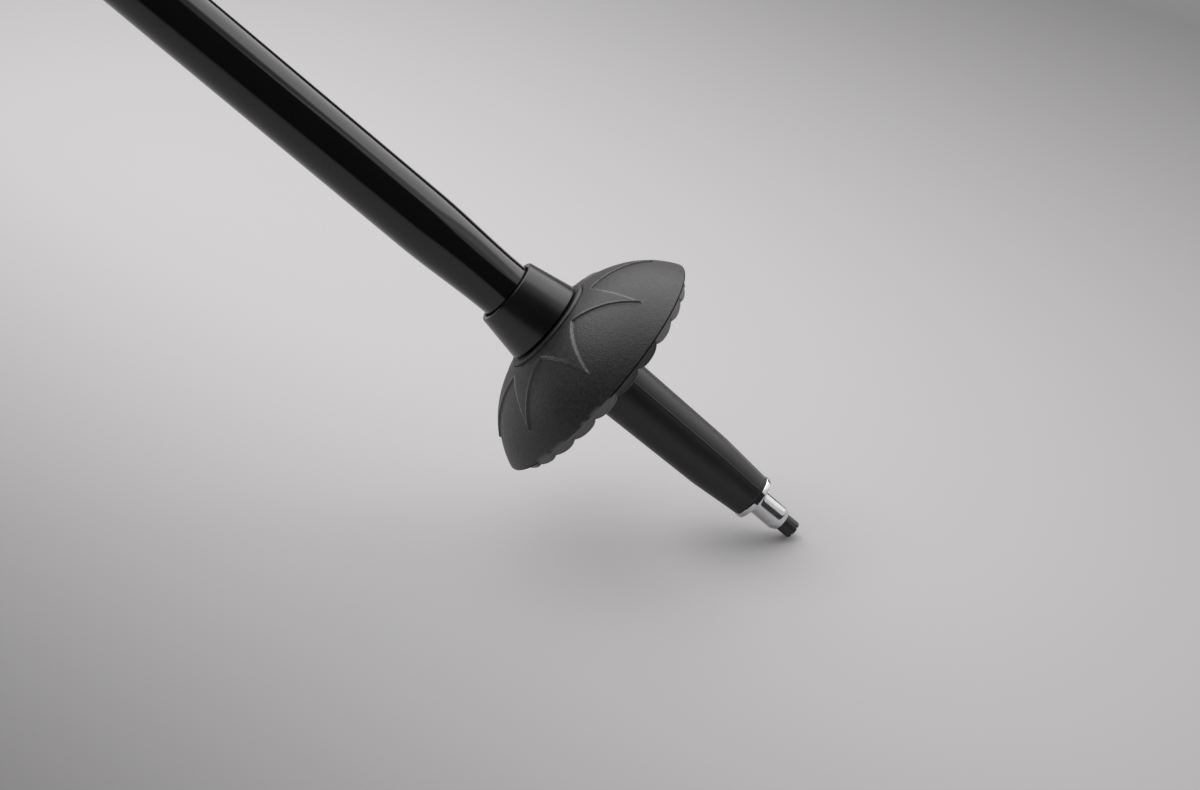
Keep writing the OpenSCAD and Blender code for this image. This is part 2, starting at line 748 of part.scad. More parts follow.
module lock_lever() {
    low_z = lock_mid_z - lever_h / 2;
    arm_mid_r = arm_r + lever_t / 2;
    start_a = 128;
    end_a = start_a - lever_reach;
    slot_h = screw_d + 2 * free_gap;
    tab_r = lever_t * 0.7;
    cam_c = [-screw_x, pin_y - cam_offset];
    arm_c = arm_mid_r * [cos(start_a), sin(start_a)];
    root_a = angle_of(cam_c, arm_c) + 90;
    color([0.08, 0.08, 0.09])
        difference() {
            union() {
                translate([-screw_x, pin_y - cam_offset, low_z]) cylinder(r = cam_r, h = lever_h);
                translate([0, 0, low_z])
                    linear_extrude(height = lever_h)
                        polygon([cam_c + cam_r * [cos(root_a), sin(root_a)], cam_c - cam_r * [cos(root_a), sin(root_a)],
                                 arm_c - lever_t / 2 * [cos(start_a), sin(start_a)],
                                 arm_c + lever_t / 2 * [cos(start_a), sin(start_a)]]);
                intersection() {
                    difference() {
                        translate([0, 0, low_z]) cylinder(r = arm_r + lever_t, h = lever_h);
                        translate([0, 0, low_z - over]) cylinder(r = arm_r, h = lever_h + 2 * over);
                    }
                    translate([0, 0, low_z])
                        linear_extrude(height = lever_h)
                            polygon([[0, 0], each arc([0, 0], 3 * arm_r, end_a, start_a, 4)]);
                }
                rotate(end_a) translate([arm_mid_r + lever_t / 3, 0, low_z]) cylinder(r = tab_r, h = lever_h);
            }
            translate([-screw_x, pin_y, low_z - over]) cylinder(r = pin_d / 2 + run_gap, h = lever_h + 2 * over);
            translate([-screw_x - 2 * cam_r, pin_y - 2 * cam_r, lock_mid_z - slot_h / 2])
                cube([2 * cam_r + slot_h / 2, 3 * cam_r, slot_h]);
        }
}

module grip_collar() {
    r = grip_ring_d / 2;
    bore_r = upper_d / 2 + glue_gap;
    color([0.12, 0.12, 0.13])
        rotate_extrude()
            polygon([
                [bore_r, grip_z - grip_ring_h], [bore_r + over, grip_z - grip_ring_h],
                each arc([bore_r + over, grip_z - over], r - bore_r - over, -75, 0, 8),
                [r, grip_z], [bore_r, grip_z]
            ]);
}

module grip_core() {
    bore_r = upper_d / 2 + glue_gap;
    rib = 1;
    color([0.14, 0.14, 0.15])
        difference() {
            translate([0, 0, grip_z]) cylinder(r = grip_core_r, h = core_top_z - grip_z);
            translate([0, 0, grip_z - over]) cylinder(r = bore_r, h = core_top_z - grip_z + 2 * over);
            for (i = [0:2])
                translate([0, 0, grip_z + grip_h * (i + 1) / 4])
                    difference() {
                        cylinder(r = grip_core_r + over, h = 2 * rib);
                        translate([0, 0, -over]) cylinder(r = grip_core_r - rib / 2, h = 2 * rib + 2 * over);
                    }
        }
}

module grip_body() {
    color([0.13, 0.13, 0.13])
        difference() {
            loft([for (j = [0:grip_rings]) station_ring(GRIP, j / grip_rings, grip_z + grip_h * j / grip_rings)]);
            translate([0, 0, grip_z - over]) cylinder(r = grip_core_r + glue_gap, h = grip_h + 2 * over);
        }
}

module grip_head() {
    slot_w = tongue_w + 2 * glue_gap;
    back_x = 2 * HEAD[3][1];
    color([0.09, 0.09, 0.10])
        difference() {
            loft([for (j = [0:head_rings]) station_ring(HEAD, j / head_rings, head_z + head_h * j / head_rings)]);
            translate([0, 0, head_z - over]) cylinder(r = grip_core_r + glue_gap, h = core_top_z - head_z + over);
            translate([0, 0, well_z]) cylinder(r = latch_d / 2 + run_gap, h = head_h);
            translate([0, 0, pocket_z]) cylinder(r = button_d / 2 + run_gap, h = head_h);
            translate([-back_x, -slot_w / 2, tongue_z - glue_gap])
                cube([back_x + latch_d, slot_w, tongue_t + 2 * glue_gap]);
        }
}

module release_button() {
    crown = 1;
    color([0.45, 0.46, 0.47])
        rotate_extrude()
            polygon([
                [0, latch_low_z], [latch_d / 2 - chamfer / 2, latch_low_z], [latch_d / 2, latch_low_z + chamfer / 2],
                [latch_d / 2, latch_top_z], [latch_neck_d / 2, latch_top_z], [latch_neck_d / 2, cap_low_z],
                [button_d / 2, cap_low_z], [button_d / 2, pole_length - crown],
                [button_d / 2 - crown, pole_length - crown / 3], [button_d / 4, pole_length], [0, pole_length]
            ]);
}

// Rings of a wire that climbs round the button's stem
module button_spring() {
    r = (spring_d - spring_wire) / 2;
    low = pocket_z + spring_wire / 2 + glue_gap;
    high = cap_low_z - spring_wire / 2 - glue_gap;
    steps = 8 * spring_curls;
    sides = 6;
    rings = [for (j = [0:steps]) let (a = 360 * j / 8, z = low + (high - low) * j / steps)
        [for (i = [0:sides - 1]) let (b = -360 * i / sides, w = spring_wire / 2)
            [(r + w * cos(b)) * cos(a), (r + w * cos(b)) * sin(a), z + w * sin(b)]]];
    echo(spring_gap = (high - low) / spring_curls - spring_wire);
    color([0.70, 0.71, 0.73]) loft(rings);
}

module strap_plug() {
    block_x = link_x - knuckle_d / 2 - free_gap;
    inner_x = latch_d - over;
    face_x = 19;
    color([0.10, 0.10, 0.11])
        translate([0, 0, tongue_z])
            difference() {
                union() {
                    translate([-link_x, -tongue_w / 2, 0]) cube([link_x + inner_x, tongue_w, tongue_t]);
                    translate([-block_x, -tongue_w / 2, tongue_t / 2 - knuckle_d / 2])
                        cube([block_x - face_x, tongue_w, knuckle_d]);
                    translate([-link_x, 0, tongue_t / 2]) rod_y(knuckle_d / 2, -plug_w / 2, plug_w / 2);
                }
                translate([0, 0, -over]) cylinder(r = latch_d / 2 + run_gap, h = tongue_t + 2 * over);
                translate([0, -latch_neck_d / 2 - free_gap, -over])
                    cube([latch_d + over, latch_neck_d + 2 * free_gap, tongue_t + 2 * over]);
                translate([-link_x, 0, tongue_t / 2]) rod_y(link_pin_d / 2 + glue_gap, -tongue_w, tongue_w);
                for (side = [-1, 1])
                    translate([-link_x - knuckle_d / 2 - free_gap, side > 0 ? plug_w / 2 : -tongue_w, -knuckle_d])
                        cube([knuckle_d + 2 * free_gap, tongue_w - plug_w / 2, 3 * knuckle_d]);
            }
}

link_z = tongue_z + tongue_t / 2;
link_half_w = web_strap_w / 2 + link_bar_d / 2 + free_gap;
link_bar_z = link_z - link_drop;

module link_pin() {
    color([0.70, 0.71, 0.73])
        translate([-link_x, 0, link_z]) rod_y(link_pin_d / 2, -link_half_w, link_half_w);
}

module strap_link() {
    r = link_bar_d / 2;
    inner_y = plug_w / 2 + free_gap;
    side_w = 0.8 * link_bar_d;
    color([0.12, 0.12, 0.13])
        translate([-link_x, 0, 0])
            difference() {
                union() {
                    for (side = [-1, 1]) {
                        translate([0, 0, link_z])
                            rod_y(knuckle_d / 2, side > 0 ? inner_y : -link_half_w - r, side > 0 ? link_half_w + r : -inner_y);
                        translate([-side_w / 2, side * link_half_w - r, link_bar_z]) cube([side_w, 2 * r, link_drop]);
                    }
                    translate([0, 0, link_bar_z]) rod_y(r, -link_half_w - r, link_half_w + r);
                }
                translate([0, 0, link_z]) rod_y(link_pin_d / 2 + run_gap, -2 * link_half_w, 2 * link_half_w);
            }
}

// Sling: an upright oval cuff, wider at its foot, with shallow folds towards the foot
sling_top_z = link_bar_z - link_bar_d - 10;
sling_low_z = sling_top_z - panel_h;
fold_count = 7;
fold_h = 1.1;
flare = 0.10;
function cuff_point(a, z, out) =
    let (drop = (sling_top_z - z) / panel_h, fold = fold_h * drop * cos(fold_count * a))
    [-sling_x + (sling_half_d * (1 + flare * drop) + fold + out) * cos(a),
     (sling_half_w * (1 - flare * drop) + fold + out) * sin(a), z];
function cuff_grid(a0, a1, z0, z1, out, cols, rows) =
    [for (j = [0:rows]) [for (i = [0:cols]) cuff_point(a0 + (a1 - a0) * i / cols, z0 + (z1 - z0) * j / rows, out)]];
module cuff_band(a0, a1, z0, z1, in, out, cols, rows) {
    slab(cuff_grid(a0, a1, z0, z1, in, cols, rows), cuff_grid(a0, a1, z0, z1, out, cols, rows));
}
panel_half_a = 100;

module strap_web() {
    r = link_bar_d / 2 + run_gap;
    t = web_strap_t;
    low_z = sling_top_z - panel_h / 4;
    panel_face = cuff_point(0, low_z, panel_t + glue_gap)[0];
    bar = [-link_x, link_bar_z];
    color([0.14, 0.14, 0.15])
        translate([0, web_strap_w / 2, 0])
            rotate([90, 0, 0])
                linear_extrude(height = web_strap_w)
                    polygon([
                        each arc(bar, r + t, 0, 180, 8), [-link_x - r - t, link_bar_z - 2 * r],
                        [panel_face, sling_top_z], [panel_face, low_z], [panel_face + 2 * t, low_z],
                        [panel_face + 2 * t, sling_top_z], [-link_x + t / 2, link_bar_z - 3 * r],
                        [-link_x - t / 4, link_bar_z - 3 * r + t], [-link_x - r, link_bar_z - r],
                        each arc(bar, r, 180, 0, 8), [-link_x + r, link_bar_z - t],
                        [-link_x + r + t, link_bar_z - t]
                    ]);
}

module palm_panel() {
    color([0.20, 0.20, 0.21])
        cuff_band(-panel_half_a, panel_half_a, sling_low_z, sling_top_z, 0, panel_t, 36, 8);
}

module back_band() {
    high_z = sling_top_z - 6;
    color([0.13, 0.13, 0.14])
        cuff_band(panel_half_a, 360 - panel_half_a, high_z - back_band_h, high_z, 0, band_t, 28, 4);
}

module wrist_band() {
    color([0.13, 0.13, 0.14])
        cuff_band(panel_half_a, 360 - panel_half_a, sling_low_z, sling_low_z + wrist_band_h, 0, band_t, 28, 3);
}

module closure_tab() {
    margin = 3;
    tab_gap = 0.1;
    color([0.25, 0.25, 0.26])
        cuff_band(130, 215, sling_low_z + margin, sling_low_z + wrist_band_h - margin, band_t + tab_gap, 2 * band_t, 16, 3);
}

module thumb_loop() {
    loop_r = 13;
    loop_h = 14;
    at = cuff_point(90, sling_top_z - 8, panel_t + free_gap);
    color([0.13, 0.13, 0.14])
        translate([at[0], at[1] + loop_r + band_t, at[2] - loop_h])
            difference() {
                cylinder(r = loop_r + band_t, h = loop_h);
                translate([0, 0, -over]) cylinder(r = loop_r, h = loop_h + 2 * over);
            }
}

carbide_tip();
tip_ferrule();
tip_holder();
basket();
lower_tube();
guide_bush();
upper_tube();
clamp_body();
clamp_liner();
cam_seat();
cross_pin();
tension_screw();
tension_nut();
lock_lever();
grip_collar();
grip_core();
grip_body();
grip_head();
release_button();
button_spring();
strap_plug();
link_pin();
strap_link();
strap_web();
palm_panel();
back_band();
wrist_band();
closure_tab();
thumb_loop();
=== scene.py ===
"""Nordic walking pole: the finished look of every piece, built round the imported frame.

Lengths inside the classes are millimetres, and each mesh is scaled to metres when its piece is made.
The pole stands on +Z with its tip at the origin. The photograph looks along +Y.
"""

import logging
import math
from abc import ABC, abstractmethod
from dataclasses import dataclass, field
from enum import Enum
from typing import Callable, Iterable, Sequence

import bmesh
import bpy
from mathutils import Matrix, Vector


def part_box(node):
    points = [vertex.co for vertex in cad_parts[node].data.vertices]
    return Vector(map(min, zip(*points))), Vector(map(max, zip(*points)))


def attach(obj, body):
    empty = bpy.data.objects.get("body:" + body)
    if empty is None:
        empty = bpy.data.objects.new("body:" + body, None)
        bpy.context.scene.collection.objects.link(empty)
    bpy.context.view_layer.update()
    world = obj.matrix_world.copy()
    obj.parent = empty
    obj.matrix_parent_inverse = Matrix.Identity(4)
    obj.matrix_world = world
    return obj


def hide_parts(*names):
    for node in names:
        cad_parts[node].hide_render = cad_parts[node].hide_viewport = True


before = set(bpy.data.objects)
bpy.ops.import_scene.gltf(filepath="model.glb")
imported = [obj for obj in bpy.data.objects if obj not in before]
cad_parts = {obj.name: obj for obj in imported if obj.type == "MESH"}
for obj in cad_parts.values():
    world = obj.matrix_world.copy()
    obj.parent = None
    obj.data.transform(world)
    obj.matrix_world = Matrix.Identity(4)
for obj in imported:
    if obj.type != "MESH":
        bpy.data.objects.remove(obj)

MM = 0.001
FULL_TURN = 2.0 * math.pi
JOIN = 0.0005
# Basket attributes: CREST marks the star's edges (painted highlight, lower roughness); LOBE is 1 on the
# lobes' faces (painted light) and -1 under the rim (painted shade).
CREST = "crest"
LOBE = "lobe"
UV_MAP = "UVMap"
log = logging.getLogger("walking_pole")

Point = tuple[float, float]
Triple = tuple[float, float, float]
Place = Callable[[float, float], Triple]
Ring = Callable[[float], Triple]
Socket = bpy.types.NodeSocket


class Body(Enum):
    """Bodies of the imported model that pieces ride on."""

    LOWER = "lower"
    BASKET = "basket"
    UPPER = "upper"
    LEVER = "lever"
    NUT = "nut"
    BUTTON = "button"
    SLING = "sling"


def node_box(node: str) -> tuple[Vector, Vector]:
    """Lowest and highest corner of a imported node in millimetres."""
    low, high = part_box(node)
    return low / MM, high / MM


def heights(node: str) -> Point:
    """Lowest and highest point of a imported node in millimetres."""
    low, high = node_box(node)
    return low.z, high.z


def arc(centre: Sequence[float], radius: float, start: float, end: float, steps: int) -> list[Point]:
    """Points along an arc.

    Args:
        centre: Centre of the arc.
        radius: Radius of the arc.
        start: First angle in degrees.
        end: Last angle in degrees.
        steps: Number of steps between the two.

    Returns:
        The points, both ends among them.
    """
    turns = [math.radians(start + (end - start) * i / steps) for i in range(steps + 1)]
    return [(centre[0] + radius * math.cos(a), centre[1] + radius * math.sin(a)) for a in turns]


def polar(radius: float, turn: float, height: float) -> Triple:
    """Point at a radius and an angle in radians round +Z."""
    return radius * math.cos(turn), radius * math.sin(turn), height


def blend_step(low: float, high: float, value: float) -> float:
    """Share from 0 to 1 that rises smoothly while value goes from low to high."""
    share = min(max((value - low) / (high - low), 0.0), 1.0)
    return share * share * (3.0 - 2.0 * share)


def shade(colour: Sequence[float], share: float) -> Triple:
    """Colour made lighter or darker by a share."""
    return (colour[0] * share, colour[1] * share, colour[2] * share)


class Graph:
    """Short way to write the node graph of a material or of the world."""

    def __init__(self, owner: bpy.types.Material | bpy.types.World) -> None:
        """Empties the owner's graph.

        Args:
            owner: Material or world that gets the graph.
        """
        owner.use_nodes = True
        self.tree = owner.node_tree
        self.tree.nodes.clear()

    def node(self, kind: str, **settings: object) -> bpy.types.Node:
        """Adds a node.

        Args:
            kind: Name of the node's type, without the ShaderNode in front.
            settings: Values of the node's own properties.

        Returns:
            The new node.
        """
        made = self.tree.nodes.new("ShaderNode" + kind)
        for name, value in settings.items():
            setattr(made, name, value)
        return made

    def link(self, source: Socket, target: Socket) -> None:
        """Joins an output to an input."""
        self.tree.links.new(source, target)

    def feed(self, target: Socket, value: object) -> None:
        """Gives an input a link or a plain value.

        Args:
            target: The input.
            value: An output, a plain value, or None to leave the input alone.
        """
        if isinstance(value, Socket):
            self.link(value, target)
        elif value is not None:
            target.default_value = value

    def maths(self, operation: str, first: object, second: object = None, third: object = None) -> Socket:
        """Adds a Math node.

        Args:
            operation: Name of the operation.
            first: First value or socket.
            second: Second value or socket.
            third: Third value or socket.

        Returns:
            The node's output.
        """
        made = self.node("Math", operation=operation)
        for target, value in zip(made.inputs, (first, second, third)):
            self.feed(target, value)
        return made.outputs[0]

    def ramp(self, value: object, low: float, high: float, start: object = 0.0, end: object = 1.0) -> Socket:
        """Maps a value smoothly from one range onto another.

        Args:
            value: Value or socket that is mapped.
            low: Value that gives start.
            high: Value that gives end.
            start: First value or socket of the new range.
            end: Last value or socket of the new range.

        Returns:
            The mapped value.
        """
        made = self.node("MapRange", interpolation_type="SMOOTHSTEP")
        for target, given in zip(made.inputs, (value, low, high, start, end)):
            self.feed(target, given)
        return made.outputs[0]

    def texture(self, kind: str, place: Socket, output: str, **values: float) -> Socket:
        """Adds a texture.

        Args:
            kind: Name of the texture's type.
            place: Coordinates.
            output: Name of the output that is wanted.
            values: Values of the texture's inputs, by their names.

        Returns:
            The output.
        """
        made = self.node("Tex" + kind)
        self.link(place, made.inputs["Vector"])
        for name, value in values.items():
            made.inputs[name].default_value = value
        return made.outputs[output]

    def noise(self, place: Socket, scale: float, detail: float = 2.0, rough: float = 0.5) -> Socket:
        """Adds a noise texture and returns its factor."""
        return self.texture("Noise", place, "Fac", Scale=scale, Detail=detail, Roughness=rough)

    def cells(self, place: Socket, scale: float) -> Socket:
        """Adds a Voronoi texture and returns its distance."""
        return self.texture("Voronoi", place, "Distance", Scale=scale)

    def split(self, place: Socket) -> bpy.types.NodeOutputs:
        """Parts of a vector.

        Args:
            place: The vector.

        Returns:
            Its parts, by the names X, Y and Z.
        """
        made = self.node("SeparateXYZ")
        self.link(place, made.inputs[0])
        return made.outputs

    def mixed(self, factor: object, first: object, second: object) -> Socket:
        """Mixes two colours.

        Args:
            factor: Share of the second colour.
            first: First colour, a socket or three numbers.
            second: Second colour, a socket or three numbers.

        Returns:
            The mixed colour.
        """
        made = self.node("Mix", data_type="RGBA")
        self.feed(made.inputs["Factor"], factor)
        ends = [socket for socket in made.inputs if socket.type == "RGBA"]
        for end, given in zip(ends, (first, second)):
            self.feed(end, (*given, 1.0) if isinstance(given, tuple) else given)
        return next(socket for socket in made.outputs if socket.type == "RGBA")


class Skin(Graph):
    """Graph of a finish's material, with the shader that takes its pattern."""

    def __init__(self, owner: bpy.types.Material, finish: "Finish") -> None:
        """Adds the shader with the finish's plain values.

        Args:
            owner: The material.
            finish: The finish.
        """
        super().__init__(owner)
        self.finish = finish
        self.shader = self.node("BsdfPrincipled")
        self.link(self.shader.outputs[0], self.node("OutputMaterial").inputs["Surface"])
        self.place = self.node("TexCoord").outputs["Object"]
        self.put("Base Color", (*finish.colour, 1.0))
        self.put("Roughness", finish.roughness)
        self.put("Metallic", finish.metallic)

    def put(self, name: str, value: object) -> None:
        """Gives one of the shader's inputs a link or a plain value."""
        self.feed(self.shader.inputs[name], value)

    def tone(self, factor: Socket, dark: float, light: float) -> None:
        """Lets the colour follow a factor between two shares of the finish's own."""
        colour = self.finish.colour
        self.put("Base Color", self.mixed(factor, shade(colour, dark), shade(colour, light)))

    def rough(self, factor: Socket, low: float, high: float, less: float, more: float) -> Socket:
        """Roughness that follows a factor from low to high, round the finish's own."""
        own = self.finish.roughness
        return self.ramp(factor, low, high, own - less, own + more)

    def relief(self, height: Socket, strength: float, distance: float) -> None:
        """Adds a bump.

        Args:
            height: The pattern of heights.
            strength: Strength of the bump.
            distance: Its height in millimetres.
        """
        made = self.node("Bump")
        made.inputs["Strength"].default_value = strength
        made.inputs["Distance"].default_value = distance * MM
        self.link(height, made.inputs["Height"])
        self.put("Normal", made.outputs["Normal"])

    def fuzz(self, weight: float, roughness: float) -> None:
        """Adds the sheen of fine fibres or cells."""
        self.put("Sheen Weight", weight)
        self.put("Sheen Roughness", roughness)


@dataclass(frozen=True)
class Finish:
    """A finish with its plain values; each kind adds its own grain.

    Attributes:
        slot: Material slot that the finish belongs to; not used.
        colour: Base colour, linear.
        roughness: Middle roughness.
        metallic: Share of metal.
    """

    slot: str = "plain"
    colour: Triple = (0.1, 0.1, 0.1)
    roughness: float = 0.5
    metallic: float = 0.0

    def material(self) -> bpy.types.Material:
        """The finish as a material, made when it is first asked for.

        Returns:
            The material.
        """
        name = type(self).__name__
        if name not in bpy.data.materials:
            self.grain(Skin(bpy.data.materials.new(name), self))
        return bpy.data.materials[name]

    def grain(self, skin: Skin) -> None:
        """Adds the finish's own colour variation, roughness and relief; here only faint patches.

        Args:
            skin: Graph of the material.
        """
        patches = skin.noise(skin.place, 90.0, 3.0)
        skin.tone(patches, 0.85, 1.15)
        skin.put("Roughness", skin.rough(patches, 0.3, 0.7, 0.04, 0.04))


@dataclass(frozen=True)
class GlossLacquer(Finish):
    """Deep black lacquer with a trace of orange peel."""

    slot: str = "gloss_tube"
    colour: Triple = (0.0020, 0.0020, 0.0022)
    roughness: float = 0.085

    def grain(self, skin: Skin) -> None:
        """Adds orange peel and faint wiping marks.

        Args:
            skin: Graph of the material.
        """
        wiped = skin.noise(skin.place, 45.0, 4.0)
        skin.put("Roughness", skin.rough(wiped, 0.3, 0.7, 0.015, 0.025))
        skin.tone(wiped, 0.9, 1.3)
        skin.relief(skin.noise(skin.place, 700.0, 1.0), 0.06, 0.02)


@dataclass(frozen=True)
class SatinMoulding(Finish):
    """Satin black moulding: smooth on the collar, finely grained on the sleeve."""

    slot: str = "satin_holder"
    colour: Triple = (0.0060, 0.0060, 0.0063)
    roughness: float = 0.30

    def grain(self, skin: Skin) -> None:
        """Makes the grain and the roughness of the sleeve grow below the basket.

        Args:
            skin: Graph of the material.
        """
        sleeve = skin.ramp(skin.split(skin.place)["Z"], 0.078, 0.066)
        patches = skin.ramp(skin.noise(skin.place, 140.0, 3.0), 0.3, 0.7, -0.02, 0.02)
        skin.put("Roughness", skin.maths("ADD", skin.rough(sleeve, 0.0, 1.0, 0.02, 0.10), patches))
        skin.tone(sleeve, 0.6, 1.25)
        fine = skin.noise(skin.place, 3600.0, 2.0)
        skin.relief(skin.maths("MULTIPLY", fine, skin.ramp(sleeve, 0.0, 1.0, 0.15, 1.0)), 0.22, 0.03)


@dataclass(frozen=True)
class SparkGrain(Finish):
    """Soft black plastic with the pitted grain of a spark-eroded mould."""

    slot: str = "soft_basket"
    colour: Triple = (0.013, 0.013, 0.0137)
    roughness: float = 0.48

    def grain(self, skin: Skin) -> None:
        """Adds pits about a third of a millimetre wide, painted light on the lobes' faces, a painted
        highlight on the star's edges and painted shade under the rim.

        Args:
            skin: Graph of the material.
        """
        coarse = skin.noise(skin.place, 1150.0, 4.0, 0.7)
        height = skin.maths("MULTIPLY_ADD", skin.cells(skin.place, 2300.0), -0.45, coarse)
        own = self.colour
        pitted = skin.mixed(skin.ramp(height, 0.0, 0.5), shade(own, 0.55), shade(own, 1.35))
        crest = skin.node("Attribute", attribute_name=CREST).outputs["Fac"]
        lobe = skin.node("Attribute", attribute_name=LOBE).outputs["Fac"]
        # Painted light: the lobes' faces, and at a smaller share the star's edges, get a much lighter colour
        # as if lit.
        wear_and_painted_light = skin.maths("MAXIMUM", lobe, skin.maths("MULTIPLY", crest, 0.45))
        # Painted shade: where LOBE is -1, under the rim, the colour goes almost black and the reflection is
        # cut.
        painted_rim_shade = skin.ramp(lobe, 0.0, -0.6)
        skin.put("Base Color", skin.mixed(painted_rim_shade, skin.mixed(wear_and_painted_light, pitted, shade(own, 6.0)), shade(own, 0.1)))
        skin.put("Specular IOR Level", skin.ramp(painted_rim_shade, 0.0, 1.0, 0.5, 0.05))
        grain = skin.rough(coarse, 0.3, 0.7, 0.06, 0.08)
        skin.put("Roughness", skin.maths("MULTIPLY_ADD", crest, -0.27, grain))
        skin.relief(height, 0.6, 0.13)


@dataclass(frozen=True)
class Chrome(Finish):
    """Polished plate with faint turning rings."""

    slot: str = "chrome"
    colour: Triple = (0.63, 0.63, 0.64)
    roughness: float = 0.13
    metallic: float = 1.0

    def grain(self, skin: Skin) -> None:
        """Adds rings along the axis and small smears.

        Args:
            skin: Graph of the material.
        """
        stretch = skin.node("Mapping")
        skin.link(skin.place, stretch.inputs["Vector"])
        stretch.inputs["Scale"].default_value = (40.0, 40.0, 5200.0)
        smears = skin.noise(skin.place, 420.0, 3.0)
        skin.put("Roughness", skin.rough(smears, 0.35, 0.7, 0.04, 0.07))
        skin.tone(smears, 0.92, 1.06)
        skin.relief(skin.noise(stretch.outputs[0], 1.0, 2.0), 0.10, 0.012)


@dataclass(frozen=True)
class Carbide(Finish):
    """Dark sintered insert with a broken, pitted skin."""

    slot: str = "carbide"
    colour: Triple = (0.012, 0.012, 0.013)
    roughness: float = 0.33

    def grain(self, skin: Skin) -> None:
        """Adds coarse pits and duller patches.

        Args:
            skin: Graph of the material.
        """
        pits = skin.noise(skin.place, 1500.0, 4.0, 0.7)
        skin.put("Roughness", skin.rough(pits, 0.35, 0.65, 0.08, 0.2))
        skin.tone(pits, 0.5, 1.8)
        skin.relief(pits, 0.5, 0.12)


@dataclass(frozen=True)
class NaturalNylon(Finish):
    """Undyed nylon of the guide bush."""

    slot: str = "natural_plastic"
    colour: Triple = (0.60, 0.58, 0.53)
    roughness: float = 0.45


@dataclass(frozen=True)
class HardMatt(Finish):
    """Glass-filled black plastic with a fine matt grain."""

    slot: str = "hard_black"
    colour: Triple = (0.016, 0.016, 0.017)
    roughness: float = 0.44

    def grain(self, skin: Skin) -> None:
        """Adds a fine moulded grain and slightly polished patches.

        Args:
            skin: Graph of the material.
        """
        wear_and_painted_light = skin.noise(skin.place, 70.0, 3.0)
        skin.put("Roughness", skin.rough(wear_and_painted_light, 0.3, 0.7, 0.07, 0.05))
        skin.tone(wear_and_painted_light, 0.85, 1.25)
        skin.relief(skin.noise(skin.place, 2600.0, 2.0, 0.6), 0.3, 0.05)


@dataclass(frozen=True)
class ZincSteel(Finish):
    """Zinc-plated steel of pins and screws."""

    slot: str = "steel"
    colour: Triple = (0.55, 0.56, 0.58)
    roughness: float = 0.28
    metallic: float = 1.0


@dataclass(frozen=True)
class TurnedAluminium(Finish):
    """Turned aluminium of the thumb nut."""

    slot: str = "aluminium"
    colour: Triple = (0.50, 0.51, 0.53)
    roughness: float = 0.32
    metallic: float = 1.0


@dataclass(frozen=True)
class GripFoam(Finish):
    """Dense closed-cell foam with an even skin of small cells."""

    slot: str = "grip_foam"
    colour: Triple = (0.030, 0.030, 0.031)
    roughness: float = 0.78

    def grain(self, skin: Skin) -> None:
        """Adds cells, lighter on their walls, and handling shine.

        Args:
            skin: Graph of the material.
        """
        cells = skin.cells(skin.place, 1500.0)
        wear_and_painted_light = skin.noise(skin.place, 22.0, 2.0)
        skin.put("Roughness", skin.rough(wear_and_painted_light, 0.35, 0.65, 0.12, 0.06))
        skin.tone(cells, 0.6, 1.5)
        skin.relief(skin.maths("MULTIPLY_ADD", cells, 0.6, skin.noise(skin.place, 320.0, 3.0)), 0.5, 0.18)
        skin.fuzz(0.15, 0.5)


@dataclass(frozen=True)
class ButtonSatin(Finish):
    """Satin grey plastic of the button."""

    slot: str = "button_grey"
    colour: Triple = (0.25, 0.26, 0.27)
    roughness: float = 0.35


@dataclass(frozen=True)
class Textile(Finish):
    """Cloth whose pattern follows the piece's UV map, in metres.

    Attributes:
        thread: Width of one thread in millimetres.
        relief: Height of the threads in millimetres.
        sheen: Weight of the fuzz.
    """

    thread: float = 0.6
    relief: float = 0.15
    sheen: float = 0.2

    def waves(self, skin: Skin, places: Sequence[Socket], pitch: float) -> list[Socket]:
        """Sine waves with a half wave in each pitch, in metres, along the given places."""
        return [skin.maths("SINE", skin.maths("MULTIPLY", place, math.pi / pitch)) for place in places]

    def weave(self, skin: Skin) -> Socket:
        """Height of a plain weave, from 0 to 1.

        Args:
            skin: Graph of the material.

        Returns:
            The height.
        """
        parts = skin.split(skin.node("UVMap", uv_map=UV_MAP).outputs[0])
        counts = [skin.maths("DIVIDE", parts[name], self.thread * MM) for name in "XY"]
        warp, weft = (skin.maths("ABSOLUTE", wave) for wave in self.waves(skin, counts, 1.0))
        cell = skin.maths("ADD", *(skin.maths("FLOOR", count) for count in counts))
        over = skin.maths("ABSOLUTE", skin.maths("MODULO", cell, 2.0))
        under = skin.maths("SUBTRACT", 1.0, over)
        return skin.maths("ADD", skin.maths("MULTIPLY", warp, over), skin.maths("MULTIPLY", weft, under))

    def grain(self, skin: Skin) -> None:
        """Adds the weave, with wear and darker threads.

        Args:
            skin: Graph of the material.
        """
        height = self.weave(skin)
        wear_and_painted_light = skin.noise(skin.place, 150.0, 4.0)
        skin.tone(skin.maths("MULTIPLY_ADD", height, 0.7, skin.maths("MULTIPLY", wear_and_painted_light, 0.3)), 0.45, 1.45)
        skin.put("Roughness", skin.rough(wear_and_painted_light, 0.3, 0.7, 0.06, 0.06))
        fuzz = skin.noise(skin.place, 3000.0, 3.0)
        skin.relief(skin.maths("MULTIPLY_ADD", fuzz, 0.3, height), 0.6, self.relief)
        skin.fuzz(self.sheen, 0.4)


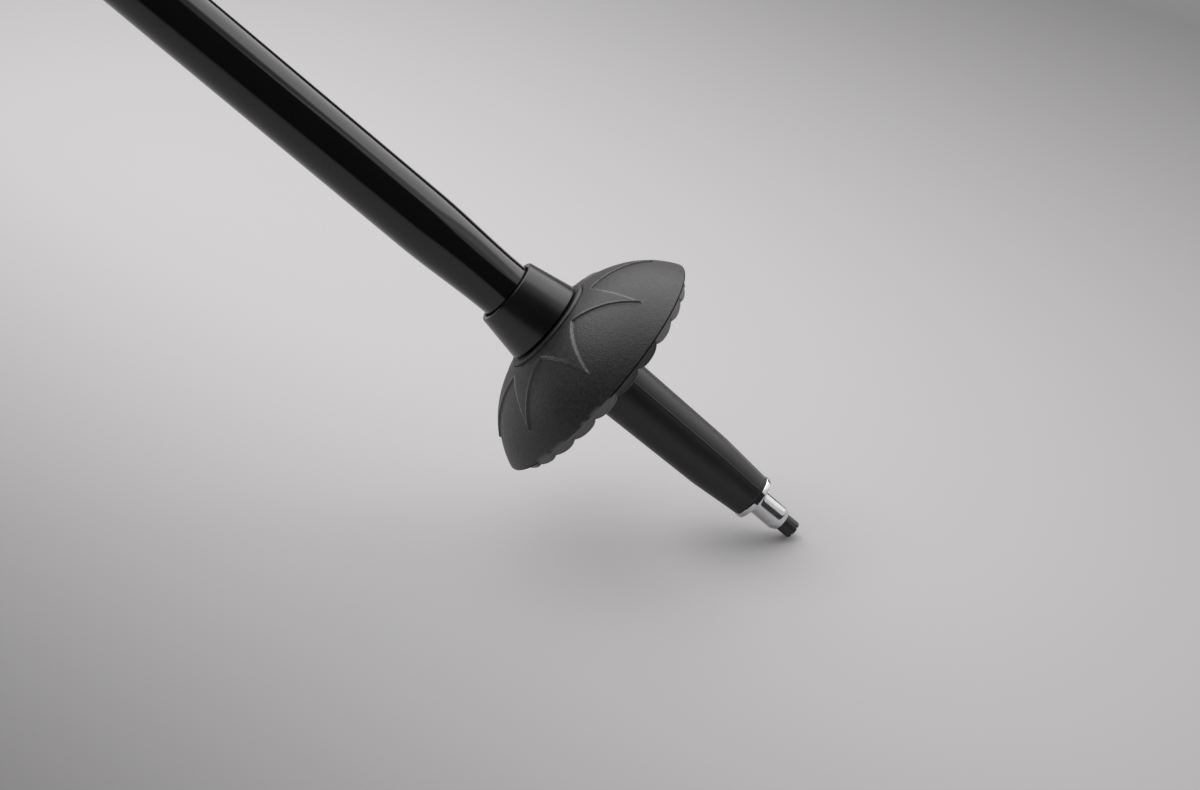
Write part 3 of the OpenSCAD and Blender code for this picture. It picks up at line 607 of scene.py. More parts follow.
@dataclass(frozen=True)
class KnitMesh(Textile):
    """Spacer knit of the padded panel: round holes in staggered rows."""

    slot: str = "sling_mesh"
    colour: Triple = (0.055, 0.055, 0.058)
    roughness: float = 0.85
    thread: float = 1.5
    relief: float = 0.35

    def weave(self, skin: Skin) -> Socket:
        """Height of the knit: low in the holes, high between them.

        Args:
            skin: Graph of the material.

        Returns:
            The height.
        """
        parts = skin.split(skin.node("UVMap", uv_map=UV_MAP).outputs[0])
        slants = [skin.maths(operation, parts["X"], parts["Y"]) for operation in ("ADD", "SUBTRACT")]
        crossed = skin.maths("MULTIPLY", *self.waves(skin, slants, self.thread * MM))
        return skin.ramp(skin.maths("ABSOLUTE", crossed), 0.65, 0.35)


@dataclass(frozen=True)
class WovenWebbing(Textile):
    """Tightly woven polyester webbing."""

    slot: str = "webbing"
    colour: Triple = (0.028, 0.028, 0.030)
    roughness: float = 0.72
    thread: float = 0.9
    relief: float = 0.22


@dataclass(frozen=True)
class BrushedLoop(Textile):
    """Brushed loop pile of the closure tab."""

    slot: str = "hook_loop"
    colour: Triple = (0.075, 0.075, 0.078)
    roughness: float = 0.92
    thread: float = 1.1
    relief: float = 0.3
    sheen: float = 0.5


GLOSS = GlossLacquer()
SATIN = SatinMoulding()
GRAINED = SparkGrain()
CHROME = Chrome()
CARBIDE = Carbide()
NYLON = NaturalNylon()
HARD = HardMatt()
STEEL = ZincSteel()
ALUMINIUM = TurnedAluminium()
FOAM = GripFoam()
BUTTON = ButtonSatin()
KNIT = KnitMesh()
WEBBING = WovenWebbing()
LOOP = BrushedLoop()


class Model:
    """A mesh in the making, in millimetres. Its methods return it, so they can follow each other."""

    def __init__(self, source: bpy.types.Mesh | None = None) -> None:
        """Starts with an empty mesh and a UV map, or with a copy of a mesh.

        Args:
            source: Mesh in metres to start with.
        """
        self.bm = bmesh.new()
        if source is None:
            self.uv = self.bm.loops.layers.uv.new(UV_MAP)
        else:
            self.bm.from_mesh(source)
            self.uv = self.bm.loops.layers.uv.verify()
            bmesh.ops.scale(self.bm, verts=self.bm.verts[:], vec=(1 / MM, 1 / MM, 1 / MM))

    @property
    def everything(self) -> list[bmesh.types.BMVert | bmesh.types.BMEdge | bmesh.types.BMFace]:
        """All corners, edges and faces."""
        return self.bm.verts[:] + self.bm.edges[:] + self.bm.faces[:]

    def turned(self, outline: Sequence[Point], steps: int = 96, closed: bool = False) -> "Model":
        """Spins an outline of radius and height points round +Z.

        Args:
            outline: Points of the outline.
            steps: Number of columns.
            closed: Whether the last point joins the first.

        Returns:
            The model itself.
        """
        verts = [self.bm.verts.new((r, 0.0, z)) for r, z in outline]
        pairs = list(zip(verts, verts[1:])) + ([(verts[-1], verts[0])] if closed else [])
        edges = [self.bm.edges.new(pair) for pair in pairs]
        bmesh.ops.spin(self.bm, geom=verts + edges, cent=(0, 0, 0), axis=(0, 0, 1), dvec=(0, 0, 0),
                       angle=FULL_TURN, steps=steps, use_merge=True, use_duplicate=False)
        return self

    def swept(self, outline: Sequence[Point], start: float, sweep: float, steps: int) -> "Model":
        """Closed solid that a cross-section makes on part of a turn round +Z.

        Args:
            outline: Corners of the section as radius and height.
            start: First angle in degrees.
            sweep: Angle covered in degrees.
            steps: Number of columns.

        Returns:
            The model itself.
        """
        face = self.bm.faces.new([self.bm.verts.new(polar(r, math.radians(start), z)) for r, z in outline])
        bmesh.ops.spin(self.bm, geom=[face], cent=(0, 0, 0), axis=(0, 0, 1), dvec=(0, 0, 0),
                       angle=math.radians(sweep), steps=steps, use_merge=False, use_duplicate=False)
        return self

    def grid(self, columns: int, rows: int, place: Place, size: Point = (0.0, 0.0)) -> "Model":
        """Adds a grid and moves its corners.

        Args:
            columns: Faces along the first direction.
            rows: Faces along the second direction.
            place: Gives a corner's place from its shares along the two directions.
            size: Width and length in millimetres, for the UV map.

        Returns:
            The model itself.
        """
        verts = bmesh.ops.create_grid(self.bm, x_segments=columns, y_segments=rows, size=0.5)["verts"]
        shares = {vert: (vert.co.x + 0.5, vert.co.y + 0.5) for vert in verts}
        for face in {face for vert in verts for face in vert.link_faces}:
            for loop in face.loops:
                u, v = shares[loop.vert]
                loop[self.uv].uv = (u * size[0] * MM, v * size[1] * MM)
        for vert, (u, v) in shares.items():
            vert.co = place(u, v)
        return self

    def lofted(self, rows: Sequence[Ring], sides: int) -> "Model":
        """Skin over a row of rings, each given as a function of the angle."""
        last = len(rows) - 1
        return self.grid(sides, last, lambda u, v: rows[round(v * last)](FULL_TURN * u))

    def block(self, low: Sequence[float], high: Sequence[float]) -> "Model":
        """Adds a box between two corners.

        Args:
            low: Lowest corner.
            high: Highest corner.

        Returns:
            The model itself.
        """
        verts = bmesh.ops.create_cube(self.bm, size=1.0)["verts"]
        bmesh.ops.scale(self.bm, verts=verts, vec=[b - a for a, b in zip(low, high)])
        bmesh.ops.translate(self.bm, verts=verts, vec=[(a + b) / 2 for a, b in zip(low, high)])
        return self

    def rod(self, radius: float, start: Sequence[float], end: Sequence[float], sides: int = 48) -> "Model":
        """Adds a solid cylinder.

        Args:
            radius: Radius of the cylinder.
            start: Middle of one end.
            end: Middle of the other end.
            sides: Number of sides.

        Returns:
            The model itself.
        """
        foot, head = Vector(start), Vector(end)
        along = head - foot
        turn = along.to_track_quat("Z", "Y").to_matrix().to_4x4()
        bmesh.ops.create_cone(self.bm, cap_ends=True, cap_tris=False, segments=sides, radius1=radius,
                              radius2=radius, depth=along.length,
                              matrix=Matrix.Translation((foot + head) / 2) @ turn)
        return self

    def prism(self, corners: Sequence[Triple], along: Triple) -> "Model":
        """Adds a closed prism.

        Args:
            corners: Corners of its flat base.
            along: Vector from the base to the other end.

        Returns:
            The model itself.
        """
        face = self.bm.faces.new([self.bm.verts.new(corner) for corner in corners])
        made = bmesh.ops.extrude_face_region(self.bm, geom=[face])["geom"]
        raised = [item for item in made if isinstance(item, bmesh.types.BMVert)]
        bmesh.ops.translate(self.bm, verts=raised, vec=along)
        return self

    def cut(self, point: Sequence[float], normal: Sequence[float]) -> "Model":
        """Takes away what lies beyond a plane and closes the cut.

        Args:
            point: A point of the plane.
            normal: Normal of the plane, towards what goes.

        Returns:
            The model itself.
        """
        made = bmesh.ops.bisect_plane(self.bm, geom=self.everything, plane_co=point, plane_no=normal,
                                      clear_outer=True, clear_inner=False)["geom_cut"]
        edges = [item for item in made if isinstance(item, bmesh.types.BMEdge)]
        bmesh.ops.holes_fill(self.bm, edges=edges, sides=0)
        return self

    def repeated(self, count: int) -> "Model":
        """Copies everything round +Z.

        Args:
            count: Number of copies, with the first.

        Returns:
            The model itself.
        """
        source = self.everything
        for i in range(1, count):
            made = bmesh.ops.duplicate(self.bm, geom=source)["geom"]
            verts = [item for item in made if isinstance(item, bmesh.types.BMVert)]
            self.turn(360.0 * i / count, verts)
        return self

    def turn(self, degrees: float, verts: list[bmesh.types.BMVert] | None = None) -> "Model":
        """Turns round +Z.

        Args:
            degrees: Angle of the turn.
            verts: Corners that are turned, or None for all.

        Returns:
            The model itself.
        """
        bmesh.ops.rotate(self.bm, verts=self.bm.verts[:] if verts is None else verts, cent=(0, 0, 0),
                         matrix=Matrix.Rotation(math.radians(degrees), 3, "Z"))
        return self

    def bevelled(self, width: float, segments: int = 2) -> "Model":
        """Rounds every edge that is sharper than 30 degrees.

        Args:
            width: Width of the rounding.
            segments: Number of faces across it.

        Returns:
            The model itself.
        """
        edges = [e for e in self.bm.edges if e.is_manifold and e.calc_face_angle(0.0) > math.radians(30.0)]
        bmesh.ops.bevel(self.bm, geom=edges, offset=width, offset_type="OFFSET", affect="EDGES",
                        segments=segments, profile=0.5, clamp_overlap=True, material=-1)
        return self

    def joined(self, *others: "Model") -> "Model":
        """Takes over the meshes of other models.

        Args:
            others: The other models, which are used up.

        Returns:
            The model itself.
        """
        for other in others:
            mesh = bpy.data.meshes.new("joining")
            other.bm.to_mesh(mesh)
            self.bm.from_mesh(mesh)
            bpy.data.meshes.remove(mesh)
            other.bm.free()
        return self

    def combined(self, others: Sequence["Model"], operation: str = "DIFFERENCE") -> "Model":
        """Cuts solids out of the model, or joins them to it, with exact booleans.

        Args:
            others: The solids that are taken away or joined.
            operation: Name of the boolean.

        Returns:
            A new model. Those that went into it are used up.
        """
        work = [bpy.data.objects.new("work", part.mesh("work", 180.0)) for part in (self, *others)]
        target, *tools = work
        for part in work:
            bpy.context.scene.collection.objects.link(part)
        for tool in tools:
            change = target.modifiers.new("combine", "BOOLEAN")
            change.operation = operation
            change.solver = "EXACT"
            change.object = tool
        bpy.context.view_layer.update()
        solved = target.evaluated_get(bpy.context.evaluated_depsgraph_get())
        result = bpy.data.meshes.new_from_object(solved)
        made = Model(result)
        used = [part.data for part in work]
        for part in work:
            bpy.data.objects.remove(part)
        for mesh in (*used, result):
            bpy.data.meshes.remove(mesh)
        return made

    def mesh(self, name: str, sharp: float, outward: bool = True) -> bpy.types.Mesh:
        """Turns the model into a smooth-shaded mesh in metres.

        Args:
            name: Name of the mesh.
            sharp: Angle in degrees past which an edge stays sharp.
            outward: Whether the normals are worked out again.

        Returns:
            The mesh.
        """
        bmesh.ops.remove_doubles(self.bm, verts=self.bm.verts[:], dist=JOIN)
        bmesh.ops.dissolve_degenerate(self.bm, edges=self.bm.edges[:], dist=JOIN / 2)
        if outward:
            bmesh.ops.recalc_face_normals(self.bm, faces=self.bm.faces[:])
        bmesh.ops.scale(self.bm, verts=self.bm.verts[:], vec=(MM, MM, MM))
        for face in self.bm.faces:
            face.smooth = True
        for edge in self.bm.edges:
            edge.smooth = not edge.is_manifold or edge.calc_face_angle(0.0) < math.radians(sharp)
        mesh = bpy.data.meshes.new(name)
        self.bm.to_mesh(mesh)
        self.bm.free()
        return mesh


@dataclass
class Assembly(ABC):
    """Sub-assembly of the pole, which makes its own finished objects."""

    @staticmethod
    def add(name: str, model: Model | bpy.types.Mesh, finish: Finish, body: Body,
            replaces: Iterable[str] = (), sharp: float = 32.0) -> bpy.types.Object:
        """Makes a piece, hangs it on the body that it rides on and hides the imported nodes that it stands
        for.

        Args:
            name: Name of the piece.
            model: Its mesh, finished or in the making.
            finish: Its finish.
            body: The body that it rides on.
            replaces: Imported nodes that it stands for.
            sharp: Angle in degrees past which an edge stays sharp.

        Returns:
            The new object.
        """
        mesh = model.mesh(name, sharp) if isinstance(model, Model) else model
        piece = bpy.data.objects.new(name, mesh)
        bpy.context.scene.collection.objects.link(piece)
        mesh.materials.clear()
        mesh.materials.append(finish.material())
        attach(piece, body.value)
        if replaces:
            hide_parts(*replaces)
        log.info("made %s on %s, %d faces", name, body.value, len(mesh.polygons))
        return piece

    @staticmethod
    def dress(node: str, finish: Finish) -> None:
        """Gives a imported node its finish.

        Args:
            node: Name of the node.
            finish: Its finish.
        """
        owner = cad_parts[node]
        owner.data.materials.clear()
        owner.data.materials.append(finish.material())
        log.info("dressed %s", node)

    @abstractmethod
    def build(self) -> None:
        """Adds every piece of the sub-assembly."""


@dataclass
class TipEnd(Assembly):
    """Hardened insert and its flanged ferrule.

    Attributes:
        insert_r: Radius of the insert.
        insert_edge: Rounding of its edges.
        teeth: Number of teeth on the crown.
        tooth_gap: Half width of the gaps between teeth.
        crown_h: Depth of the gaps.
        crown_top: Height at which the crown's unevenness ends.
        chip: Depth of the chips in the teeth.
        flute: Depth of the flutes up the insert's side.
        flute_turn: Half of the angle that a flute covers, in radians.
        seat_h: Depth of the seat for the insert.
        barrel_r: Radius of the ferrule's straight part.
        nose_r: Radius of the ferrule's end face.
        nose_h: Length of its tapered nose.
        nose: Distance past nose_r, and height, of each point of the nose's edge.
        shoulder: Distance inside barrel_r, and height over the nose, of each point where the two meet.
        fillet: Radial and axial size of the fillet under the flange.
        stem_r: Radius of the stem inside the holder.
        flange_r: Radius of the flange.
        flange_h: Thickness of the flange.
        flange_edge: Rounding of the flange.
        claws: Number of claws of the holder, and of notches for them.
        claw_w: Width of the notches.
        claw_r: Radius at which the notches end.
        claw_turn: Angle of the first notch, with the camera's side at -90 degrees.
    """

    insert_r: float = 2.3
    insert_edge: float = 0.3
    teeth: int = 6
    tooth_gap: float = 0.38
    crown_h: float = 0.27
    crown_top: float = 1.3
    chip: float = 0.09
    flute: float = 0.07
    flute_turn: float = 0.16
    seat_h: float = 6.02
    barrel_r: float = 3.25
    nose_r: float = 2.55
    nose_h: float = 1.35
    nose: tuple[Point, ...] = ((0.0, 0.0), (0.12, 0.05), (0.2, 0.2), (0.27, 0.42))
    shoulder: tuple[Point, ...] = ((0.14, -0.3), (0.06, -0.12), (0.015, 0.05), (0.0, 0.3))
    fillet: Point = (1.5, 1.25)
    stem_r: float = 3.0
    flange_r: float = 6.0
    flange_h: float = 1.3
    flange_edge: float = 0.18
    claws: int = 3
    claw_w: float = 3.24
    claw_r: float = 4.83
    claw_turn: float = -83.5

    def insert(self) -> Model:
        """Crown insert with uneven teeth.

        Returns:
            The insert.
        """
        high = heights("carbide_tip")[1]
        r, edge, hollow = self.insert_r, self.insert_edge, 0.8
        side = [(r, z) for z in (0.45, 0.7, 1.0, self.crown_top, 2.2, high - edge)]
        model = Model().turned([(0, hollow), (0.5, hollow - 0.05), (r - 0.7, 0.12), (r - 0.5, 0.0),
                                (r - edge, 0.0), *arc((r - edge, edge), edge, -60, 0, 3), *side,
                                (r - edge, high), (0, high)], steps=144)
        step = FULL_TURN / self.teeth
        for vert in model.bm.verts:
            angle, radius = math.atan2(vert.co.y, vert.co.x), math.hypot(vert.co.x, vert.co.y)
            off = (angle + step / 2) % step - step / 2
            if vert.co.z < self.crown_top - 0.05:
                inside = 1.0 - blend_step(0.0, self.tooth_gap, abs(radius * math.sin(off)))
                chip = self.chip * math.sin(5 * angle + 0.7) * math.sin(11 * angle)
                lift = self.crown_h * inside + max(chip, 0.0)
                vert.co.z = vert.co.z + lift * (1.0 - vert.co.z / self.crown_top)
            if radius > r - 0.2 and vert.co.z < high - 1.0:
                flute = self.flute * (1.0 - blend_step(0.0, self.flute_turn, abs(off)))
                vert.co.xy = vert.co.xy * (1.0 - flute / radius)
        return model

    def ferrule(self) -> Model:
        """Flanged ferrule, with notches in the flange for the claws.

        Returns:
            The ferrule.
        """
        low, high = heights("tip_ferrule")
        flange_z = heights("tip_holder")[0]
        top_z, seat_r = flange_z + self.flange_h, self.insert_r + 0.02
        out, down = self.fillet
        nose = [(self.nose_r + r, low + z) for r, z in self.nose]
        nose += [(self.barrel_r - r, low + self.nose_h + z) for r, z in self.shoulder]
        curve = [(self.barrel_r + out * (1 - math.cos(math.pi / 2 * i / 10)),
                  flange_z - down + down * math.sin(math.pi / 2 * i / 10)) for i in range(10)]
        model = Model().turned([(seat_r, low + 0.1), (seat_r + 0.08, low), *nose, (self.barrel_r, low + 4),
                                (self.barrel_r, flange_z - down - 0.3), *curve, (self.claw_r, flange_z),
                                (self.claw_r, top_z), (self.stem_r, top_z), (self.stem_r, high), (0, high),
                                (0, low + self.seat_h), (seat_r, low + self.seat_h)], steps=160, closed=True)
        step = 360.0 / self.claws
        return model.joined(*(self.flange_part(self.claw_turn + k * step, step) for k in range(self.claws)))

    def flange_part(self, claw: float, step: float) -> Model:
        """Part of the flange between two notches.

        Args:
            claw: Angle of the notch that it follows, in degrees.
            step: Angle from one notch to the next.

        Returns:
            The part.
        """
        low = heights("tip_holder")[0]
        high, edge = low + self.flange_h, self.flange_edge
        rim = self.flange_r - edge
        part = Model().swept([(self.claw_r, low), (rim, low), *arc((rim, low + edge), edge, -60, 0, 3),
                              *arc((rim, high - edge), edge, 0, 60, 3), (rim, high), (self.claw_r, high)],
                             claw + 10.0, step - 20.0, 64)
        for angle, side in ((claw, 1.0), (claw + step, -1.0)):
            out = Vector(polar(1.0, math.radians(angle), 0.0))
            across = Vector((-out.y, out.x, 0.0)) * side
            part.cut(across * self.claw_w / 2, -across)
        return part

    def build(self) -> None:
        """Adds the insert and the ferrule."""
        self.add("crown_insert", self.insert(), CARBIDE, Body.LOWER, ["carbide_tip"], sharp=40)
        self.add("flanged_ferrule", self.ferrule(), CHROME, Body.LOWER, ["tip_ferrule"], sharp=50)


@dataclass
class Holder(Assembly):
    """Moulded holder: collar over the tube end, core under the basket and tapered sleeve.

    Attributes:
        sleeve: Radius and height above the flange of each break in the sleeve's taper.
        toe: Rounding at the sleeve's end.
        core_r: Radius of the core inside the basket.
        collar_base_r: Radius of the collar at the basket.
        collar_mouth_r: Radius of the collar at its mouth.
        collar_h: Height of the collar.
        lip: Rounding of the collar's edges.
        mouth_r: Radius of the opening round the tube.
        socket_r: Radius of the socket for the tube.
        socket_h: Depth of the socket.
        seam_turn: Angle of the mould seam, with the camera's side at -90 degrees.
        seam_h: Height of the seam.
        flat_turn: Angle of the flats near the sleeve's end.
        flat_depth: Depth of the flats at the sleeve's end.
        flat_len: Length of the flats.
        claw: Outer radius, half width and rise over the flange of a claw.
        lug_w: Width of the basket's lugs.
        lug_h: Height of the lugs.
        lug_r: Radius to which the lugs reach.
        edge: Chamfer of claws and lugs.
    """

    sleeve: tuple[Point, ...] = ((5.85, 0.0), (6.03, 3.2), (6.8, 13.2), (7.52, 46.2))
    toe: float = 0.35
    core_r: float = 9.0
    collar_base_r: float = 10.95
    collar_mouth_r: float = 8.85
    collar_h: float = 12.0
    lip: float = 0.42
    mouth_r: float = 7.6
    socket_r: float = 7.17
    socket_h: float = 26.0
    seam_turn: float = -67.5
    seam_h: float = 0.06
    flat_turn: float = -10.0
    flat_depth: float = 0.42
    flat_len: float = 16.0
    claw: Triple = (5.65, 1.6, 0.6)
    lug_w: float = 7.0
    lug_h: float = 1.8
    lug_r: float = 10.2
    edge: float = 0.2

    def __post_init__(self) -> None:
        """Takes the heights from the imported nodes."""
        self.flange_z, self.mouth_z = heights("tip_holder")
        self.end_z = self.flange_z + TipEnd.flange_h
        self.stem_z = heights("tip_ferrule")[1]
        self.core_z = self.end_z + self.sleeve[-1][1]

    def moulding(self) -> Model:
        """Round body of the holder, with its socket and the bore for the ferrule.

        Returns:
            The body.
        """
        collar_z, stem_r = self.mouth_z - self.collar_h, TipEnd.stem_r + 0.02
        lip, toe, foot_z = self.lip, self.toe, self.mouth_z - self.lip
        taper = [(r, self.end_z + z) for r, z in self.sleeve]
        rows = [(r0 + (r1 - r0) * k / 6, z0 + (z1 - z0) * k / 6)
                for (r0, z0), (r1, z1) in zip(taper, taper[1:]) for k in range(1, 7)]
        end_r = taper[0][0] - toe
        return Model().turned([(stem_r, self.end_z), (end_r, self.end_z),
                               *arc((end_r, self.end_z + toe), toe, -70, 0, 5), *rows,
                               (self.core_r, self.core_z + 1.5), (self.core_r, collar_z),
                               *arc((self.collar_base_r - lip, collar_z + lip), lip, -90, 5, 6),
                               *arc((self.collar_mouth_r - lip, foot_z), lip, 10, 90, 6),
                               *arc((self.mouth_r + lip, foot_z), lip, 90, 180, 5),
                               (self.mouth_r, self.mouth_z - 1.4), (self.socket_r, self.mouth_z - 2.0),
                               (self.socket_r, self.mouth_z - self.socket_h),
                               (0, self.mouth_z - self.socket_h), (0, self.stem_z), (stem_r, self.stem_z)],
                              steps=192, closed=True)

    def seam(self, model: Model) -> None:
        """Raises the mould seams along the sleeve.

        Args:
            model: The body that gets them.
        """
        for vert in model.bm.verts:
            radius = math.hypot(vert.co.x, vert.co.y)
            angle = math.degrees(math.atan2(vert.co.y, vert.co.x)) - self.seam_turn
            off = abs((angle + 90.0) % 180.0 - 90.0)
            if off < 0.5 and self.end_z + 1.0 < vert.co.z <= self.core_z and radius > 5.0:
                vert.co.xy = vert.co.xy * (1.0 + self.seam_h / radius)

    def flatten(self, model: Model, turn: float) -> None:
        """Cuts a flat near the sleeve's end and puts what lies beyond its plane onto it.

        Args:
            model: The body.
            turn: Angle of the flat in radians.
        """
        tilt = math.atan((self.sleeve[2][0] - self.sleeve[0][0] + self.flat_depth) / self.flat_len)
        normal = Vector(polar(math.cos(tilt), turn, -math.sin(tilt)))
        point = Vector(polar(self.sleeve[0][0] - self.flat_depth, turn, self.end_z))
        bmesh.ops.bisect_plane(model.bm, geom=model.everything, plane_co=point, plane_no=normal)
        for vert in model.bm.verts:
            beyond = (vert.co - point).dot(normal)
            outside = math.hypot(vert.co.x, vert.co.y) > TipEnd.stem_r + 0.5
            if beyond > 0.0 and vert.co.z < self.core_z and outside:
                vert.co = vert.co - normal * beyond

    def model(self) -> Model:
        """Whole holder, with claws, lugs, flats and seams.

        Returns:
            The holder.
        """
        model = self.moulding()
        self.seam(model)
        for turn in (self.flat_turn, self.flat_turn + 180.0):
            self.flatten(model, math.radians(turn))
        edge, inner = self.edge, TipEnd.claw_r + 0.03
        claw_r, half_w, rise = self.claw
        half = math.degrees(math.asin(half_w / 5.3))
        top = self.end_z + rise
        section = [(inner, self.flange_z), (claw_r - edge, self.flange_z), (claw_r, self.flange_z + edge),
                   (claw_r, top), (inner, top)]
        for k in range(TipEnd.claws):
            claw = TipEnd.claw_turn + 360.0 * k / TipEnd.claws
            model.joined(Model().swept(section, claw - half, 2 * half, 12))
        half = math.degrees(math.asin(self.lug_w / 2 / self.lug_r))
        low, inner, out = self.core_z + 1.5, self.core_r - 0.5, self.lug_r
        high = low + self.lug_h
        section = [(inner, low), (out - edge, low), (out, low + edge), (out, high - edge), (out - edge, high),
                   (inner, high)]
        for turn in (0.0, 180.0):
            model.joined(Model().swept(section, turn - half, 2 * half, 16))
        return model

    def build(self) -> None:
        """Adds the holder."""
        self.add("moulded_holder", self.model(), SATIN, Body.LOWER, ["tip_holder"], sharp=24)


@dataclass
class Basket(Assembly):
    """Domed basket with a raised star, a lobed rim, a hub and webs.

    Attributes:
        rim_round: Radius of the rim's edge.
        rim_drop: Height of the rim's widest line over the lowest point.
        edge_rise: How far above that line the dome ends.
        rim_land: Width of the flat under the rim.
        neck_r: Radius where the dome meets the bead.
        bead: Thickness of the bead.
        dome_sag: Rise of the dome over the straight line from neck to rim.
        wall: Thickness of the dome.
        hub_r: Radius of the hub.
        bore_r: Radius of the bore.
        points: Number of points of the star.
        point_r: Radius of the points.
        valley_r: Radius of the valleys.
        bow: Angle in degrees between a chord and an edge of the star.
        step_h: Height of the star.
        star_turn: Angle of one point, with the camera's side at -90 degrees.
        step: Distance outside the star's edge and share of the height of each point of its step.
        arm_columns: Number of faces across half an arm of the star.
        valley_columns: Number of faces between the star's edge and the middle of a valley.
        lobes: Number of lobes.
        lobe_rise: How much lower a lobe reaches in its middle than at its sides.
        lobe_taper: Inset of a lobe's outer face under the rim, and its slant towards the hub.
        lobe_turn: Angle in degrees between a lobe's side and a point of the star.
        lobe_in_r: Inner radius of the lobes.
        web_w: Thickness of the webs.
        low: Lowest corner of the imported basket.
        high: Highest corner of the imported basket.
    """

    rim_round: float = 0.38
    rim_drop: float = 2.2
    edge_rise: float = 0.75
    rim_land: float = 2.4
    neck_r: float = 12.6
    bead: float = 1.2
    dome_sag: float = 3.3
    wall: float = 2.0
    hub_r: float = 11.6
    bore_r: float = 9.05
    points: int = 8
    point_r: float = 27.8
    valley_r: float = 15.0
    bow: float = 5.0
    step_h: float = 0.46
    star_turn: float = -95.0
    step: tuple[Point, ...] = ((-0.34, 1.0), (-0.16, 0.99), (-0.06, 0.9), (0.02, 0.66), (0.09, 0.28),
                               (0.15, 0.06), (0.22, 0.0), (0.40, 0.0))
    arm_columns: int = 8
    valley_columns: int = 8
    lobes: int = 24
    lobe_rise: float = 1.9
    lobe_taper: Point = (1.15, 0.55)
    lobe_turn: float = 1.1
    lobe_in_r: float = 23.2
    web_w: float = 1.5
    low: Vector = field(default_factory=lambda: node_box("basket")[0])
    high: Vector = field(default_factory=lambda: node_box("basket")[1])

    def __post_init__(self) -> None:
        """Works out the dome's arc and the star's edge from the sizes."""
        self.rim_r = (self.high.x - self.low.x) / 2
        self.rim_z = self.low.z + self.rim_drop
        self.hub_z = self.rim_z - 0.5
        self.edge_z = self.rim_z + self.edge_rise
        neck = Vector((self.neck_r, self.high.z - self.bead))
        rim = Vector((self.rim_r, self.rim_z))
        chord = rim - neck
        self.dome_r = (chord.length_squared / 4 + self.dome_sag ** 2) / (2 * self.dome_sag)
        across = Vector((-chord.y, chord.x)).normalized()
        self.centre = (neck + rim) / 2 - across * (self.dome_r - self.dome_sag)
        self.edge_r = self.centre.x + math.sqrt(self.dome_r ** 2 - (self.edge_z - self.centre.y) ** 2)
        self.half = math.pi / self.points
        tip = Vector((self.point_r * math.cos(self.half) - self.valley_r, self.point_r * math.sin(self.half)))
        self.side_r = tip.length / (2 * math.sin(math.radians(self.bow)))
        heading = math.atan2(tip.y, tip.x) + math.radians(self.bow)
        self.side_centre = Vector((self.valley_r + self.side_r * math.sin(heading),
                                   -self.side_r * math.cos(heading)))

    def gap(self, radius: float) -> float:
        """Angle from the middle of a valley to the star's edge.

        Args:
            radius: Radius at which it is measured.

        Returns:
            The angle in radians.
        """
        far = self.side_centre.length
        share = (radius * radius + far * far - self.side_r ** 2) / (2 * radius * far)
        return math.atan2(self.side_centre.y, self.side_centre.x) + math.acos(min(max(share, -1.0), 1.0))

    def arm(self, radius: float) -> Point:
        """Half of the star arm's angle at a radius, and how slanted its edge runs there.

        Args:
            radius: Distance from the axis.

        Returns:
            The half angle in radians, and the cosine between the edge and the radial direction.
        """
        if radius <= self.valley_r:
            return self.half, 1.0
        if radius >= self.point_r:
            return 0.0, 1.0
        slope = radius * (self.gap(radius + 0.01) - self.gap(radius)) / 0.01
        return max(self.half - self.gap(radius), 0.0), 1.0 / math.sqrt(1.0 + slope * slope)

    def dome_point(self, radius: float, angle: float, lift: float) -> Triple:
        """Point over the dome, lifted along the dome's normal.

        Args:
            radius: Distance from the axis of the point under it.
            angle: Angle in radians.
            lift: Height over the dome.

        Returns:
            The point.
        """
        tilt = math.acos(min(max((radius - self.centre.x) / self.dome_r, -1.0), 1.0))
        out = self.centre.x + (self.dome_r + lift) * math.cos(tilt)
        return polar(out, angle, self.centre.y + (self.dome_r + lift) * math.sin(tilt))

    def dome_rows(self) -> list[float]:
        """Radii of the dome's rows, which lie close together along the star.

        Returns:
            The radii, from the neck to the edge.
        """
        rows = [self.neck_r + (self.valley_r - self.neck_r) * i / 5 for i in range(6)]
        shares = [0.006, 0.015, *[i / 44 for i in range(1, 43)], 0.972, 0.985, 0.994, 1.0]
        rows += [self.valley_r + (self.point_r - self.valley_r) * share for share in shares]
        rows += [self.point_r + 0.12, self.point_r + 0.3]
        first, last = (math.acos((r - self.centre.x) / self.dome_r) for r in (rows[-1], self.edge_r))
        turns = [first + (last - first) * i / 8 for i in range(1, 9)]
        return rows + [self.centre.x + self.dome_r * math.cos(turn) for turn in turns]

    def star_point(self, column: int, radius: float) -> Triple:
        """Point of the dome's grid, whose columns follow the star's edges.

        Args:
            column: Number of the column, with 0 in the middle of an arm.
            radius: Distance from the axis.

        Returns:
            The point.
        """
        arm, slant = self.arm(radius)
        index, flat, steps = abs(column), self.arm_columns, len(self.step)
        if radius <= self.valley_r + JOIN:
            angle, height = self.half * min(index / flat, 1.0), 1.0
        elif radius > self.point_r + JOIN:
            angle = self.half * max(index - flat - steps, 0) / self.valley_columns
            height = 0.3 * max(0.0, 1 - (radius - self.point_r) / 0.3) if index == 0 else 0.0
        else:
            offsets = [arm + beyond / (radius * slant) for beyond, _ in self.step]
            if index <= flat:
                angle, height = max(offsets[0], 0.0) * index / flat, 1.0
            elif index <= flat + steps:
                angle, height = max(offsets[index - flat - 1], 0.0), self.step[index - flat - 1][1]
            else:
                share = (index - flat - steps) / self.valley_columns
                angle, height = offsets[-1] + (self.half - offsets[-1]) * share, 0.0
        return self.dome_point(radius, math.copysign(min(angle, self.half), column), self.step_h * height)

